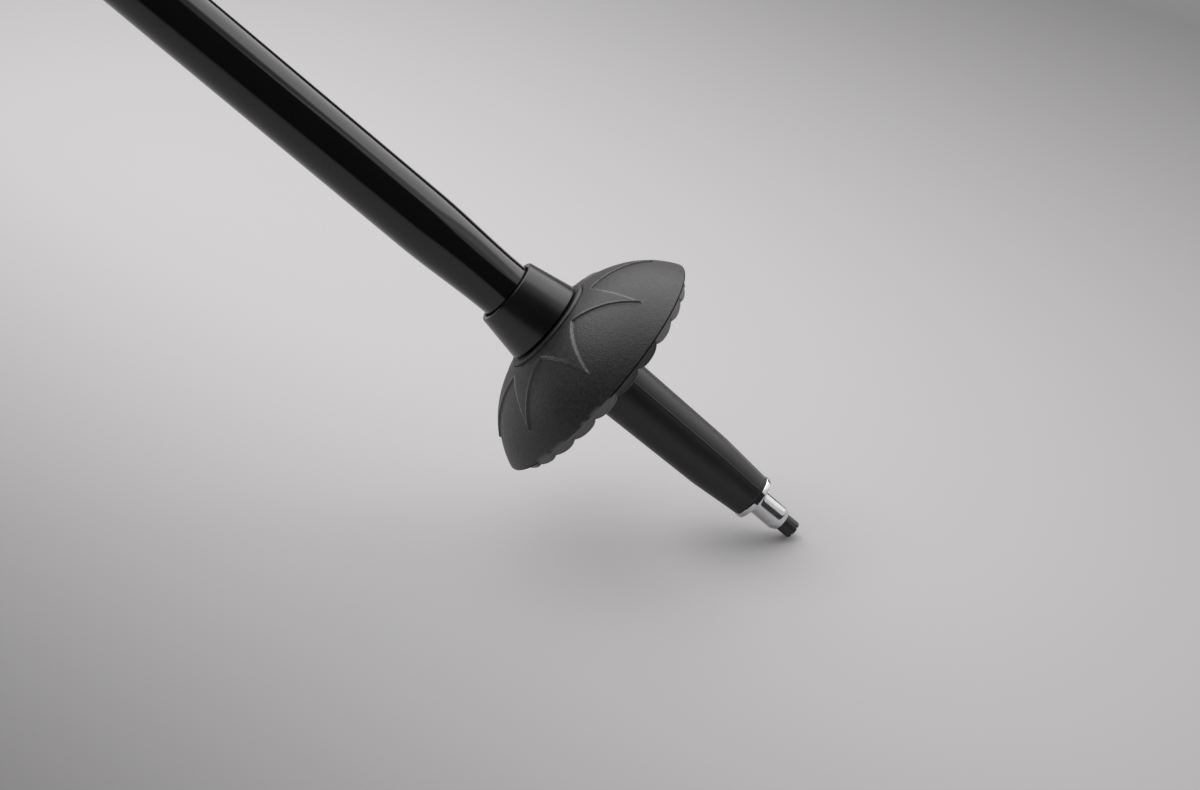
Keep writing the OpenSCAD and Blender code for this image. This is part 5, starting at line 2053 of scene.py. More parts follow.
@dataclass
class Sling(Assembly):
    """Padded hand sling on its swinging link.

    Attributes:
        middle_x: Place of the sling's middle behind the pole's axis.
        half_w: Half of its width.
        half_d: Half of its depth.
        flare: How much its depth grows towards the foot.
        folds: Number of shallow folds.
        fold_h: Depth of the folds at the foot.
        panel_half: Half of the angle that the panel covers.
        panel_t: Thickness of the panel.
        face_gap: Distance from the panel's face to what lies on its binding.
        corner: Radius of the panel's corners.
        tape_w: Width of the binding on either face.
        channels: Angles of the sewn channels.
        band_t: Thickness of the bands.
        flap_turns: Angles at which the closure flap starts and ends.
        loop_drop: How far the thumb loop is pushed against the panel.
        loop_half: Half of the thumb loop's thickness.
        web_half: Half of the webbing's width.
        web_t: Thickness of the webbing with the gap between its two layers.
        bar_r: Radius round the link's bar at which the webbing's inner face runs.
        start_t: Half of the panel's thickness before it swells.
        thread_r: Radius of the thread.
        pitch: Length of a stitch and the gap after it.
        stitch: Share of that length that the stitch covers.
        swell: How far the padding may swell.
        press_h: Distances below the panel's top between which the webbing and the loop begin to press on it.
        web_press: Share of the swell that the webbing takes away.
        loop_press: Share of the swell that the thumb loop takes away.
        loop_turns: Angles between which the thumb loop begins to press on it.
        scale: Enlargement of the panel while it is simulated.
        frames: Number of simulated frames.
    """

    middle_x: float = -55.0
    half_w: float = 36.0
    half_d: float = 18.0
    flare: float = 0.10
    folds: int = 7
    fold_h: float = 1.1
    panel_half: float = 100.0
    panel_t: float = 3.0
    face_gap: float = 1.26
    corner: float = 7.0
    tape_w: float = 4.6
    channels: tuple[float, ...] = (-68.0, -40.0, 40.0, 68.0)
    band_t: float = 1.8
    flap_turns: Point = (130.0, 215.0)
    loop_drop: float = 1.9
    loop_half: float = 0.75
    web_half: float = 10.0
    web_t: float = 1.5
    bar_r: float = 1.65
    start_t: float = 0.75
    thread_r: float = 0.26
    pitch: float = 2.4
    stitch: float = 0.72
    swell: float = 1.5
    press_h: Point = (32.0, 27.0)
    web_press: float = 0.72
    loop_press: float = 0.8
    loop_turns: Point = (66.0, 74.0)
    scale: float = 60.0
    frames: int = 18

    def __post_init__(self) -> None:
        """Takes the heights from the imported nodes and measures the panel's width."""
        self.low, self.high = heights("palm_panel")
        self.height = self.high - self.low
        self.middle_z = (self.low + self.high) / 2
        self.run = [(self.length(0.0, float(a), self.middle_z), float(a)) for a in range(0, 182, 2)]
        self.wide = self.length(0.0, self.panel_half, self.middle_z)
        self.border_length = (2 * (self.height + 2 * self.wide - 4 * self.corner)
                              + FULL_TURN * self.corner)

    def length(self, start: float, end: float, z: float) -> float:
        """Length along the cuff between two angles.

        Args:
            start: First angle in degrees.
            end: Last angle in degrees.
            z: Height at which it is measured.

        Returns:
            The length in millimetres.
        """
        steps = max(1, round(abs(end - start)))
        path = [Vector(self.point(start + (end - start) * i / steps, z, self.panel_t / 2))
                for i in range(steps + 1)]
        return sum((b - a).length for a, b in zip(path, path[1:]))

    def turn_at(self, along: float) -> float:
        """Angle at a length along the cuff from the pole's side.

        Args:
            along: The length, negative on one side.

        Returns:
            The angle in degrees.
        """
        far = abs(along)
        for (near_run, near_turn), (far_run, far_turn) in zip(self.run, self.run[1:]):
            if far <= far_run:
                break
        turn = near_turn + (far_turn - near_turn) * (far - near_run) / (far_run - near_run)
        return math.copysign(turn, along)

    def along_at(self, turn: float) -> float:
        """Length along the cuff at an angle from the pole's side.

        Args:
            turn: The angle in degrees, negative on one side.

        Returns:
            The length in millimetres.
        """
        index = min(int(abs(turn) / 2), len(self.run) - 2)
        (near_run, near_turn), (far_run, far_turn) = self.run[index], self.run[index + 1]
        along = near_run + (far_run - near_run) * (abs(turn) - near_turn) / (far_turn - near_turn)
        return math.copysign(along, turn)

    def point(self, angle: float, z: float, out: float) -> Triple:
        """Point of the cuff.

        Args:
            angle: Angle in degrees, with the pole's side at 0.
            z: Height.
            out: Distance outside the hand's side.

        Returns:
            The point in millimetres.
        """
        a = math.radians(angle)
        drop = (self.high - z) / self.height
        fold = self.fold_h * drop * math.cos(self.folds * a)
        return (self.middle_x + (self.half_d * (1 + self.flare * drop) + fold + out) * math.cos(a),
                (self.half_w * (1 - self.flare * drop) + fold + out) * math.sin(a), z)

    def border(self, share: float) -> tuple[float, float, float, float]:
        """Point of the panel's outline, and the direction into the panel.

        Args:
            share: Share of the way round.

        Returns:
            Place along the cuff and height of the point, and the inward direction.
        """
        tall, r, bend = self.height / 2, self.corner, math.pi / 2
        at = share % 1.0 * self.border_length
        x, y, heading = self.wide, r - tall, bend
        for side in (2 * (tall - r), 2 * (self.wide - r)) * 2:
            step = min(at, side)
            x, y, at = x + step * math.cos(heading), y + step * math.sin(heading), at - step
            if at <= 0.0:
                break
            turn = min(at / r, bend)
            centre = (x - r * math.sin(heading), y + r * math.cos(heading))
            heading, at = heading + turn, at - r * turn
            x, y = centre[0] + r * math.sin(heading), centre[1] - r * math.cos(heading)
            if at <= 1e-9:
                break
        return x, self.middle_z + y, -math.sin(heading), math.cos(heading)

    def on_border(self, share: float, inset: float, out: float) -> Triple:
        """Point near the panel's outline.

        Args:
            share: Share of the way round.
            inset: Distance inside the outline.
            out: Distance over the panel's middle.

        Returns:
            The point.
        """
        along, z, inward, up = self.border(share)
        turn = self.turn_at(along + inward * inset)
        return self.point(turn, z + up * inset, self.panel_t / 2 + out)

    def panel(self) -> bpy.types.Mesh:
        """Padded panel, swollen between its sewn channels by a cloth simulation.

        Returns:
            The finished mesh.
        """
        tall, r, wide = self.height / 2, self.corner, self.wide

        def face(side: float) -> Place:
            """One face of the panel.

            Args:
                side: 1 for the face outside, or -1 for the one on the hand's side.

            Returns:
                The function that places its points.
            """
            def at(u: float, v: float) -> Triple:
                """Point of the face.

                Args:
                    u: Share of the way across the panel.
                    v: Share of the way up.

                Returns:
                    The point.
                """
                u, v = ((1 - math.cos(math.pi * w)) / 2 * 0.3 + w * 0.7 for w in (u, v))
                y = (2 * v - 1) * tall
                over = max(abs(y) - (tall - r), 0.0)
                reach = wide - (r - math.sqrt(max(r * r - over * over, 0.0)))
                edge = min((1 - abs(2 * u - 1)) * reach, tall - abs(y))
                thick = self.start_t * math.sqrt(min(edge / 2.5, 1.0))
                turn = self.turn_at((2 * u - 1) * reach)
                return self.point(turn, self.middle_z + y, self.panel_t / 2 + side * thick)

            return at

        model = Model()
        for side in (1.0, -1.0):
            model.grid(90, 76, face(side), (2 * wide, 2 * tall))
        bmesh.ops.remove_doubles(model.bm, verts=model.bm.verts[:], dist=JOIN)
        bmesh.ops.recalc_face_normals(model.bm, faces=model.bm.faces[:])
        mesh = bpy.data.meshes.new("padded_panel")
        model.bm.to_mesh(mesh)
        model.bm.free()
        rest = [vert.co.copy() for vert in mesh.vertices]
        held, room = self.held_and_room(rest)
        moved = self.simulated(mesh, held)
        swollen = bmesh.new()
        swollen.from_mesh(mesh)
        for vert, start, end, limit in zip(swollen.verts, rest, moved, room):
            step = end - start
            if step.length > limit:
                step = step * (limit / step.length)
            vert.co = start + step
        bmesh.ops.smooth_vert(swollen, verts=swollen.verts[:], factor=0.25, use_axis_x=True,
                              use_axis_y=True, use_axis_z=True)
        bmesh.ops.scale(swollen, verts=swollen.verts[:], vec=(MM, MM, MM))
        for flat in swollen.faces:
            flat.smooth = True
        swollen.to_mesh(mesh)
        swollen.free()
        return mesh

    def held_and_room(self, points: Sequence[Vector]) -> tuple[list[float], list[float]]:
        """How firmly each point of the panel is sewn down, and how far it may swell.

        Args:
            points: Points of the panel at rest.

        Returns:
            Two lists, of holds from 0 to 1 and of distances in millimetres.
        """
        held, room = [], []
        for point in points:
            drop = self.flare * (self.high - point.z) / self.height
            side, front = self.half_w * (1 - drop), self.half_d * (1 + drop)
            angle = math.degrees(math.atan2(point.y / side, (point.x - self.middle_x) / front))
            along = self.along_at(angle)
            edge = min(self.wide - abs(along), point.z - self.low, self.high - point.z)
            sewn = 1.0 - blend_step(self.tape_w - 1.4, self.tape_w + 0.2, edge)
            for channel in self.channels:
                sewn = max(sewn, 1.0 - blend_step(0.4, 1.4, abs(along - self.along_at(channel))))
            held.append(sewn)
            high = blend_step(self.high - self.press_h[0], self.high - self.press_h[1], point.z)
            under_web = (1.0 - blend_step(self.web_half, self.web_half + 4.0, abs(along))) * high
            under_loop = blend_step(*self.loop_turns, angle) * high
            beside_loop = self.swell * (1.0 - self.web_press * under_web)
            room.append(beside_loop * (1.0 - self.loop_press * under_loop))
        return held, room

    def simulated(self, mesh: bpy.types.Mesh, held: Sequence[float]) -> list[Vector]:
        """Swells a closed mesh with Blender's cloth.

        Args:
            mesh: The mesh in millimetres.
            held: Share of hold of each point.

        Returns:
            The points after the simulation, in millimetres.
        """
        scene = bpy.context.scene
        factor = self.scale * MM
        work = mesh.copy()
        for vert in work.vertices:
            vert.co = vert.co * factor
        body = bpy.data.objects.new("panel_work", work)
        scene.collection.objects.link(body)
        group = body.vertex_groups.new(name="sewn")
        for index, hold in enumerate(held):
            group.add([index], hold, "REPLACE")
        change = body.modifiers.new("swell", "CLOTH")
        settings = change.settings
        settings.quality = 6
        settings.mass = 0.2
        settings.tension_stiffness = settings.compression_stiffness = 10.0
        settings.shear_stiffness = 6.0
        settings.bending_stiffness = 0.6
        settings.effector_weights.gravity = 0.0
        settings.use_pressure = True
        settings.uniform_pressure_force = 12.0
        settings.vertex_group_mass = "sewn"
        settings.pin_stiffness = 2.0
        change.collision_settings.use_self_collision = False
        change.point_cache.frame_start = 1
        change.point_cache.frame_end = self.frames
        for number in range(1, self.frames + 1):
            scene.frame_set(number)
        solved = body.evaluated_get(bpy.context.evaluated_depsgraph_get())
        moved = [vert.co / factor for vert in solved.to_mesh().vertices]
        solved.to_mesh_clear()
        bpy.data.objects.remove(body)
        bpy.data.meshes.remove(work)
        scene.frame_set(1)
        far = max((a - b.co).length for a, b in zip(moved, mesh.vertices))
        log.info("cloth moved the panel by up to %.2f mm", far)
        return moved

    @staticmethod
    def strip(place: Callable[[float, float, float], Triple], steps: int, low: float, high: float,
              under: float, over: float, length: float, ends: bool = True) -> Model:
        """Strip of webbing with rounded selvedges.

        Args:
            place: Gives a point from the share along the strip, the place across and the height.
            steps: Number of steps along the strip.
            low: Place across of one selvedge.
            high: Place across of the other.
            under: Height of its lower face.
            over: Height of its upper face.
            length: Length in millimetres.
            ends: Whether the strip has two ends, instead of closing on itself.

        Returns:
            The strip.
        """
        middle, half, edge, count = (under + over) / 2, (over - under) / 2, 0.6, 10
        face = [low + edge + (high - low - 2 * edge) * i / count for i in range(count + 1)]
        inset, bend = edge * 0.35, half * 0.75
        section = [*[(a, over) for a in face], (high - inset, middle + bend), (high, middle),
                   (high - inset, middle - bend), *[(a, under) for a in reversed(face)],
                   (low + inset, middle - bend), (low, middle), (low + inset, middle + bend)]

        def at(u: float, v: float) -> Triple:
            """Point of the strip, whose two ends are closed flat.

            Args:
                u: Share of the way along the strip.
                v: Share of the way round its section.

            Returns:
                The point.
            """
            across, height = section[round(v * len(section)) % len(section)]
            if ends and (u < 0.25 / steps or u > 1 - 0.25 / steps):
                height = middle
            return place(u, across, height)

        return Model().grid(steps, len(section), at, (length, 2 * (high - low)))

    def stitched(self, model: Model, path: Iterable[Triple]) -> None:
        """Adds a row of stitches along a path.

        Args:
            model: Model that gets the stitches.
            path: Points on the cloth.
        """
        points = [Vector(point) for point in path]
        run = 0.0
        for first, second in zip(points, points[1:]):
            step = second - first
            along = step.normalized()
            while run < step.length:
                end = min(run + self.pitch * self.stitch, step.length)
                model.rod(self.thread_r, first + along * run, first + along * end, 6)
                run += self.pitch
            run -= step.length

    def cuff_strip(self, turns: Point, zone: Point, under: float, over: float,
                   rounded: float = 0.0) -> Model:
        """Strip that follows the cuff between two angles.

        Args:
            turns: First and last angle.
            zone: Heights of its lower and upper selvedge.
            under: Distance of its inner face outside the hand's side.
            over: Distance of its outer face.
            rounded: Length of its rounded end.

        Returns:
            The strip.
        """
        (start, end), middle = turns, sum(zone) / 2
        length = self.length(start, end, middle)

        def place(u: float, across: float, height: float) -> Triple:
            """Point of the strip, thinner where it is sewn to the panel.

            Args:
                u: Share of the way along the strip.
                across: Height of the point.
                height: Distance outside the hand's side.

            Returns:
                The point.
            """
            angle = start + (end - start) * u
            sewn = 1.0 - blend_step(self.panel_half, self.panel_half + 7.0, min(angle, 360.0 - angle))
            if rounded:
                left = min((1.0 - u) * length / rounded, 1.0)
                across = middle + (across - middle) * (0.35 + 0.65 * math.sqrt(left * (2.0 - left)))
            return self.point(angle, across, height * (1 - 0.45 * sewn) + 0.8 * sewn)

        return self.strip(place, max(24, round(length)), *zone, under, over, length)

    def binding(self) -> Model:
        """Tape folded round the panel's edge.

        Returns:
            The tape.
        """
        wide = self.tape_w
        outside = [(wide, 1.12), (wide - 0.3, 1.2), (wide / 2, 1.24), (1.1, 1.15), (0.0, 0.8), (-0.45, 0.0)]
        inside = [(0.1, 0.0), (0.5, 0.45), (1.4, 0.76), (wide, 0.8)]
        section = [*outside, *[(a, -b) for a, b in reversed(outside[:-1])],
                   *[(a, -b) for a, b in reversed(inside)], *inside[1:]]
        count = len(section)
        return Model().grid(300, count, lambda u, v: self.on_border(u, *section[round(v * count) % count]),
                            (self.border_length, 5.2 * wide))

    def web_line(self) -> tuple[list[Vector], float, float]:
        """Middle line of the webbing from the panel over the link's bar and back.

        Returns:
            The points of the line, the height of its foot and its outer layer's place behind the pole.
        """
        pin_low, pin_high = node_box("link_pin")
        bar_x, bar_z = (pin_low.x + pin_high.x) / 2, heights("strap_link")[0] + Grip.bar_r
        thick, top, foot = self.web_t, self.high, self.high - self.height / 4
        face_x = self.point(0.0, foot, self.panel_t / 2 + self.face_gap)[0]
        inner, outer, r = face_x + thick / 2, face_x + thick * 1.55, self.bar_r + thick / 2
        points = [(inner, foot), (inner, foot + 8), (inner, foot + 15), (inner, top - 1.0),
                  (inner + 0.3, top + 2.0), (bar_x - r - 0.5, bar_z - 4.5), (bar_x - r, bar_z - 1.5),
                  *arc((bar_x, bar_z), r, 180, 0, 9), (bar_x + r, bar_z - 1.5), (bar_x + 0.6, bar_z - 6.0),
                  (outer + 0.6, top + 1.5), (outer, top - 1.0), (outer, foot + 15), (outer, foot + 8),
                  (outer, foot + 1.0)]
        return [Vector((x, 0.0, z)) for x, z in points], foot, outer

    def web(self) -> tuple[Model, float, Model]:
        """Webbing from the panel over the link's bar and back, sewn to itself.

        Returns:
            The webbing, its length and its stitches.
        """
        path, foot, outer = self.web_line()
        steps = [b - a for a, b in zip(path, path[1:])]
        heading = [step.normalized() for step in steps]
        lengths = [0.0]
        for step in steps:
            lengths.append(lengths[-1] + step.length)

        def place(u: float, across: float, height: float) -> Triple:
            """Point of the webbing, which turns smoothly at the points of its line.

            Args:
                u: Share of the way along the webbing.
                across: Place across it.
                height: Distance over its middle line.

            Returns:
                The point.
            """
            at = u * lengths[-1]
            i = next((k for k in range(len(steps) - 1) if at <= lengths[k + 1]), len(steps) - 1)
            share = (at - lengths[i]) / (lengths[i + 1] - lengths[i])
            if share < 0.5:
                along = heading[max(i - 1, 0)].lerp(heading[i], share + 0.5).normalized()
            else:
                along = heading[i].lerp(heading[min(i + 1, len(steps) - 1)], share - 0.5).normalized()
            spot = path[i].lerp(path[i + 1], share) + Vector((-along.z, 0.0, along.x)) * height
            return spot.x, across, spot.z

        thread, half = Model(), self.web_half
        front, side = outer + self.web_t * 0.47, half - 2.2
        for low, high in ((foot + 2.5, foot + 9.5), (foot + 12.5, foot + 19.5)):
            box = [(-side, low), (side, low), (side, high), (-side, high), (-side, low), (side, high)]
            self.stitched(thread, [(front, y, z) for y, z in box])
            self.stitched(thread, [(front, side, low), (front, -side, high)])
        thick = self.web_t * 0.45
        return self.strip(place, 110, -half, half, -thick, thick, lengths[-1]), lengths[-1], thread

    def build(self) -> None:
        """Adds the sling's pieces."""
        panel = self.add("padded_panel", self.panel(), KNIT, Body.SLING, ["palm_panel"])
        tape = self.add("panel_binding", self.binding(), WEBBING, Body.SLING, sharp=60)
        thread, count = Model(), 240
        foot, top = self.low + self.tape_w + 1.0, self.high - self.tape_w - 1.0
        for side in (-1.0, 1.0):
            self.stitched(thread, [self.on_border(i / count, self.tape_w - 1.1, side * 1.2)
                                   for i in range(count + 1)])
            for channel in self.channels:
                self.stitched(thread, [self.point(channel, foot + (top - foot) * i / 12,
                                                  self.panel_t / 2 + side * 0.8) for i in range(13)])
        self.add("panel_thread", thread, WEBBING, Body.SLING)
        self.build_bands(panel)
        self.build_loop(panel)
        web, length, sewn = self.web()
        webbing = self.add("link_webbing", web, WEBBING, Body.SLING, ["strap_web"], sharp=60)
        self.add("webbing_thread", sewn, WEBBING, Body.SLING)

    def build_bands(self, panel: bpy.types.Object) -> None:
        """Adds the two bands and the closure flap.

        Args:
            panel: The padded panel that they are sewn to; not used.
        """
        turns = (self.panel_half - 2.5, 362.5 - self.panel_half)
        for name, node in (("back_strap", "back_band"), ("wrist_strap", "wrist_band")):
            zone = heights(node)
            strip = self.cuff_strip(turns, zone, 0.15, self.band_t - 0.1)
            band = self.add(name, strip, WEBBING, Body.SLING, [node], sharp=60)
            self.length(*turns, sum(zone) / 2) * MM
        low, high = zone = heights("closure_tab")
        flap = self.cuff_strip(self.flap_turns, zone, self.band_t + 0.1, self.band_t + 1.6, 9.0)
        tab = self.add("closure_flap", flap, LOOP, Body.SLING, ["closure_tab"], sharp=60)
        self.length(*self.flap_turns, sum(zone) / 2) * MM
        thread, out, inset = Model(), self.band_t + 1.62, 1.6
        for z in (low + inset, high - inset):
            self.stitched(thread, [self.point(132.0 + 2.0 * i, z, out) for i in range(36)])
        for turn in (132.0, 138.0):
            self.stitched(thread, [self.point(turn, low + inset + (high - low - 2 * inset) * i / 6, out)
                                   for i in range(7)])
        self.add("flap_thread", thread, WEBBING, Body.SLING)

    def build_loop(self, panel: bpy.types.Object) -> None:
        """Adds the thumb loop.

        Args:
            panel: The padded panel that it hangs on; not used.
        """
        low, high = node_box("thumb_loop")
        centre_x = (low.x + high.x) / 2
        centre_y = (low.y + high.y) / 2 - self.loop_drop
        radius = (high.x - low.x) / 2 - self.band_t / 2
        side = Vector(self.point(90.0, (low.z + high.z) / 2, self.panel_t / 2 + self.face_gap))

        def place(u: float, across: float, height: float) -> Triple:
            """Point of the loop, which lies flat where it meets the panel.

            Args:
                u: Share of the way round the loop.
                across: Height of the point.
                height: Distance outside the middle of the strap.

            Returns:
                The point.
            """
            angle = FULL_TURN * u + math.pi / 2
            x, y = (radius + height) * math.cos(angle), centre_y + (radius + height) * math.sin(angle)
            share = min(abs(x + centre_x - side.x) / (self.half_d + 3.0), 1.0)
            seat = side.y * math.sqrt(1.0 - share * share) + self.loop_half - height
            return centre_x + x, max(y, seat) if math.sin(angle) < 0.0 else y, across

        around = FULL_TURN * radius
        strip = self.strip(place, 120, low.z, high.z, -self.loop_half, self.loop_half, around, ends=False)
        loop = self.add("thumb_strap", strip, WEBBING, Body.SLING, ["thumb_loop"], sharp=60)


def placed(at: Vector, *axes: Vector) -> Matrix:
    """Matrix that puts something at a point, with its own three axes along the given ones."""
    return Matrix.Translation(at) @ Matrix(axes).transposed().to_4x4()


@dataclass(frozen=True)
class Shot:
    """Camera of the photograph, in the part's own frame.

    Attributes:
        width_px: Width of the photograph.
        height_px: Height of the photograph.
        tip_px: Pixel where the tip stands in the photograph.
        focal_px: Focal length in pixels.
        film: Width of the camera's film in millimetres.
        clip: Nearest and farthest depth that the camera sees, in metres.
        distance: Depth of the tip before the camera, in metres.
        lean: Angle of the pole's image from the horizontal, in degrees.
        tilt: Angle by which the pole leans towards the camera, in degrees.
        down: Angle by which the camera looks down on the floor, in degrees.
        tip_r: Radius of the insert, whose edge stands on the floor, in metres.
    """

    width_px: int = 1200
    height_px: int = 790
    tip_px: Point = (792.915, 530.284)
    focal_px: float = 2437.0
    film: float = 36.0
    clip: Point = (0.01, 50.0)
    distance: float = 0.602006
    lean: float = 39.732
    tilt: float = 13.278
    down: float = 30.0
    tip_r: float = 0.0023

    def tip(self) -> Vector:
        """Place of the tip before the camera.

        Returns:
            How far right, down and away it is, in metres.
        """
        across = (self.tip_px[0] - self.width_px / 2) / self.focal_px
        below = (self.tip_px[1] - self.height_px / 2) / self.focal_px
        return Vector((across, below, 1.0)) * self.distance

    def axes(self) -> Matrix:
        """Matrix that takes the camera's right, down and away into the part's axes.

        Returns:
            The matrix.
        """
        lean, tilt = math.radians(self.lean), math.radians(self.tilt)
        flat = math.cos(tilt)
        up_pole = Vector((-math.cos(lean) * flat, -math.sin(lean) * flat, -math.sin(tilt)))
        back = -self.tip().normalized()
        front = (back - up_pole * back.dot(up_pole)).normalized()
        side = up_pole.cross(front)
        return Matrix((side, -front, up_pole))

    def into_part(self, vector: Sequence[float]) -> Vector:
        """Turns a direction from the camera's axes into the part's."""
        return self.axes() @ Vector(vector)

    def floor_normal(self) -> Vector:
        """Upward normal of the floor in the part's axes."""
        down = math.radians(self.down)
        return self.into_part((0.0, -math.cos(down), -math.sin(down)))

    def contact(self) -> Vector:
        """Point on the floor under the edge of the tip."""
        normal = self.floor_normal()
        return -normal * self.tip_r * math.sqrt(1.0 - normal.z ** 2)

    def camera(self) -> None:
        """Adds the scene's camera."""
        data = bpy.data.cameras.new("camera")
        data.sensor_fit = "HORIZONTAL"
        data.sensor_width = self.film
        data.lens = self.film * self.focal_px / self.width_px
        data.clip_start, data.clip_end = self.clip
        made = bpy.data.objects.new("camera", data)
        axes = (self.into_part(v) for v in ((1, 0, 0), (0, -1, 0), (0, 0, -1)))
        made.matrix_world = placed(self.into_part(-self.tip()), *axes)
        bpy.context.scene.collection.objects.link(made)
        bpy.context.scene.camera = made


@dataclass(frozen=True)
class Studio:
    """Pale floor, one large soft light from above and behind, and a dim room.

    Attributes:
        shot: The camera's numbers.
        reach: Radius of the floor in metres.
        fades: Shares of that radius between which the floor fades into the backdrop.
        pool_at: Middle of the floor's pool of light, right of the tip and away from it, in metres.
        pool_turn: Direction of the pool's long side on the floor, in radians.
        pool_long: How far the pool reaches along that side, ahead and behind, and the power of its falloff.
        pool_wide: The same across that side.
        outside: Distances from the tip between which the floor round the pool grows lighter, and its shares
            of the pool's brightness there.
        key_at: Middle of the large light in the camera's axes: right and down, in metres.
        key_w: Width of the large light in metres.
        key_strips: Nearest and farthest depth of each of its strips, and the strip's share of brightness.
        key_side: Left and right edge of each strip that carries it on to the right, and its share.
        key_level: Brightness of the large light's face.
        side_at: Middle of the pale screen at the right.
        side_size: Height and depth of the screen.
        side_level: Brightness of the screen's face.
        grip_at: Middle of the soft light behind the grip, in the part's own axes.
        grip_size: Its two sides.
        grip_level: Brightness of its face.
        fill: Strength of the room's plain light.
        room: Strength of the room in reflections.
        backdrop: Colour behind everything.
        paper: Colour of the floor where the pool of light is brightest.
        paper_rough: Roughness of the floor.
        paper_shine: Strength of its reflection.
        glow: Share of its brightness, away from the tip, that is a painted glow for the camera instead of
            lamplight, which lightens the floor's shadows.
        glow_from: Distances from the tip between which that share rises from nothing.
        lamp_share: Brightness that the lamps alone give a white floor.
    """

    shot: Shot
    reach: float = 1.1
    fades: Point = (0.42, 0.95)
    pool_at: Point = (-0.1591, 0.1755)
    pool_turn: float = -0.848
    pool_long: Triple = (0.59, 0.468, 2.49)
    pool_wide: Triple = (0.339, 0.21, 1.97)
    outside: tuple[float, float, float, float] = (0.3, 0.9, 0.3, 0.85)
    key_at: Point = (0.24, -2.2)
    key_w: float = 4.9
    key_strips: tuple[Triple, ...] = ((-1.12, 2.06, 1.0), (-1.42, -1.12, 0.5), (-3.2, -1.42, 0.18))
    key_side: tuple[Triple, ...] = ((2.69, 3.0, 0.45), (3.0, 4.2, 0.18))
    key_level: float = 2.6
    side_at: Triple = (1.6, -0.72, 0.05)
    side_size: Point = (0.96, 3.2)
    side_level: float = 0.66
    grip_at: Triple = (-0.85, 0.62, 0.95)
    grip_size: Point = (1.0, 1.3)
    grip_level: float = 2.0
    fill: float = 0.5
    room: float = 0.045
    backdrop: Triple = (0.50, 0.49, 0.495)
    paper: Triple = (0.372, 0.3633, 0.3668)
    paper_rough: float = 0.9
    paper_shine: float = 0.2
    glow: float = 0.45
    glow_from: Point = (0.003, 0.035)
    lamp_share: float = 1.72

    def floor(self) -> None:
        """Adds the floor: a round sheet that fades into the backdrop."""
        model = Model()
        bmesh.ops.create_circle(model.bm, cap_ends=True, segments=96, radius=self.reach / MM)
        mesh = model.mesh("floor", 180.0, outward=False)
        made = bpy.data.objects.new("floor", mesh)
        normal = self.shot.floor_normal()
        across = self.shot.into_part((1.0, 0.0, 0.0))
        made.matrix_world = placed(self.shot.contact(), across, normal.cross(across), normal)
        bpy.context.scene.collection.objects.link(made)
        mesh.materials.append(self.floor_material())

    def pool(self, graph: Graph, place: Socket) -> Socket:
        """Soft pool of light that runs across the picture.

        Args:
            graph: Nodes of the floor's material.
            place: The point on the floor.

        Returns:
            Its share of the full brightness.
        """
        spot = graph.split(place)
        right = graph.maths("SUBTRACT", spot["X"], self.pool_at[0])
        away = graph.maths("SUBTRACT", spot["Y"], self.pool_at[1])
        cosine, sine = math.cos(self.pool_turn), math.sin(self.pool_turn)
        along = graph.maths("ADD", graph.maths("MULTIPLY", right, cosine),
                            graph.maths("MULTIPLY", away, sine))
        across = graph.maths("SUBTRACT", graph.maths("MULTIPLY", away, cosine),
                             graph.maths("MULTIPLY", right, sine))

        def falloff(value: Socket, ahead: float, behind: float, power: float) -> Socket:
            """Loss of light at a distance from the pool's middle.

            Args:
                value: The distance, negative behind the middle.
                ahead: Reach of the pool ahead of it.
                behind: Reach behind it.
                power: Power of the falloff.

            Returns:
                The loss.
            """
            side = graph.maths("GREATER_THAN", value, 0.0)
            scale = graph.maths("MULTIPLY_ADD", side, 1.0 / ahead - 1.0 / behind, 1.0 / behind)
            return graph.maths("POWER", graph.maths("MULTIPLY", graph.maths("ABSOLUTE", value), scale), power)

        total = graph.maths("ADD", falloff(along, *self.pool_long), falloff(across, *self.pool_wide))
        return graph.maths("POWER", math.e, graph.maths("MULTIPLY", total, -1.0))

    def floor_material(self) -> bpy.types.Material:
        """Paper that is lit from above, with a painted pool of light and a painted glow that only the camera
        sees, and fades away towards its rim.

        Returns:
            The material.
        """
        made = bpy.data.materials.new("paper_floor")
        graph = Graph(made)
        place = graph.node("TexCoord").outputs["Object"]
        length = graph.node("VectorMath", operation="LENGTH")
        graph.link(place, length.inputs[0])
        radius = length.outputs["Value"]
        # Painted pool of light: the floor's colour, as the camera sees it, follows a pool of light.
        pool = graph.maths("MAXIMUM", self.pool(graph, place), graph.ramp(radius, *self.outside))
        seen = graph.node("LightPath").outputs["Is Camera Ray"]
        # Painted glow: for camera rays part of the floor's brightness is emission instead of lamplight, which
        # lightens its shadows away from the tip.
        glow = graph.ramp(radius, *self.glow_from, 0.0, self.glow)
        below = graph.maths("MULTIPLY", graph.maths("MULTIPLY", pool, glow), seen)
        above = graph.maths("MULTIPLY", pool, graph.maths("SUBTRACT", 1.0, glow))
        level = graph.maths("ADD", graph.maths("MULTIPLY", above, seen), graph.maths("SUBTRACT", 1.0, seen))
        black = (0.0, 0.0, 0.0)
        shader = graph.node("BsdfPrincipled")
        shader.inputs["Roughness"].default_value = self.paper_rough
        shader.inputs["Specular IOR Level"].default_value = self.paper_shine
        shader.inputs["Emission Strength"].default_value = 1.0
        graph.link(graph.mixed(level, black, self.paper), shader.inputs["Base Color"])
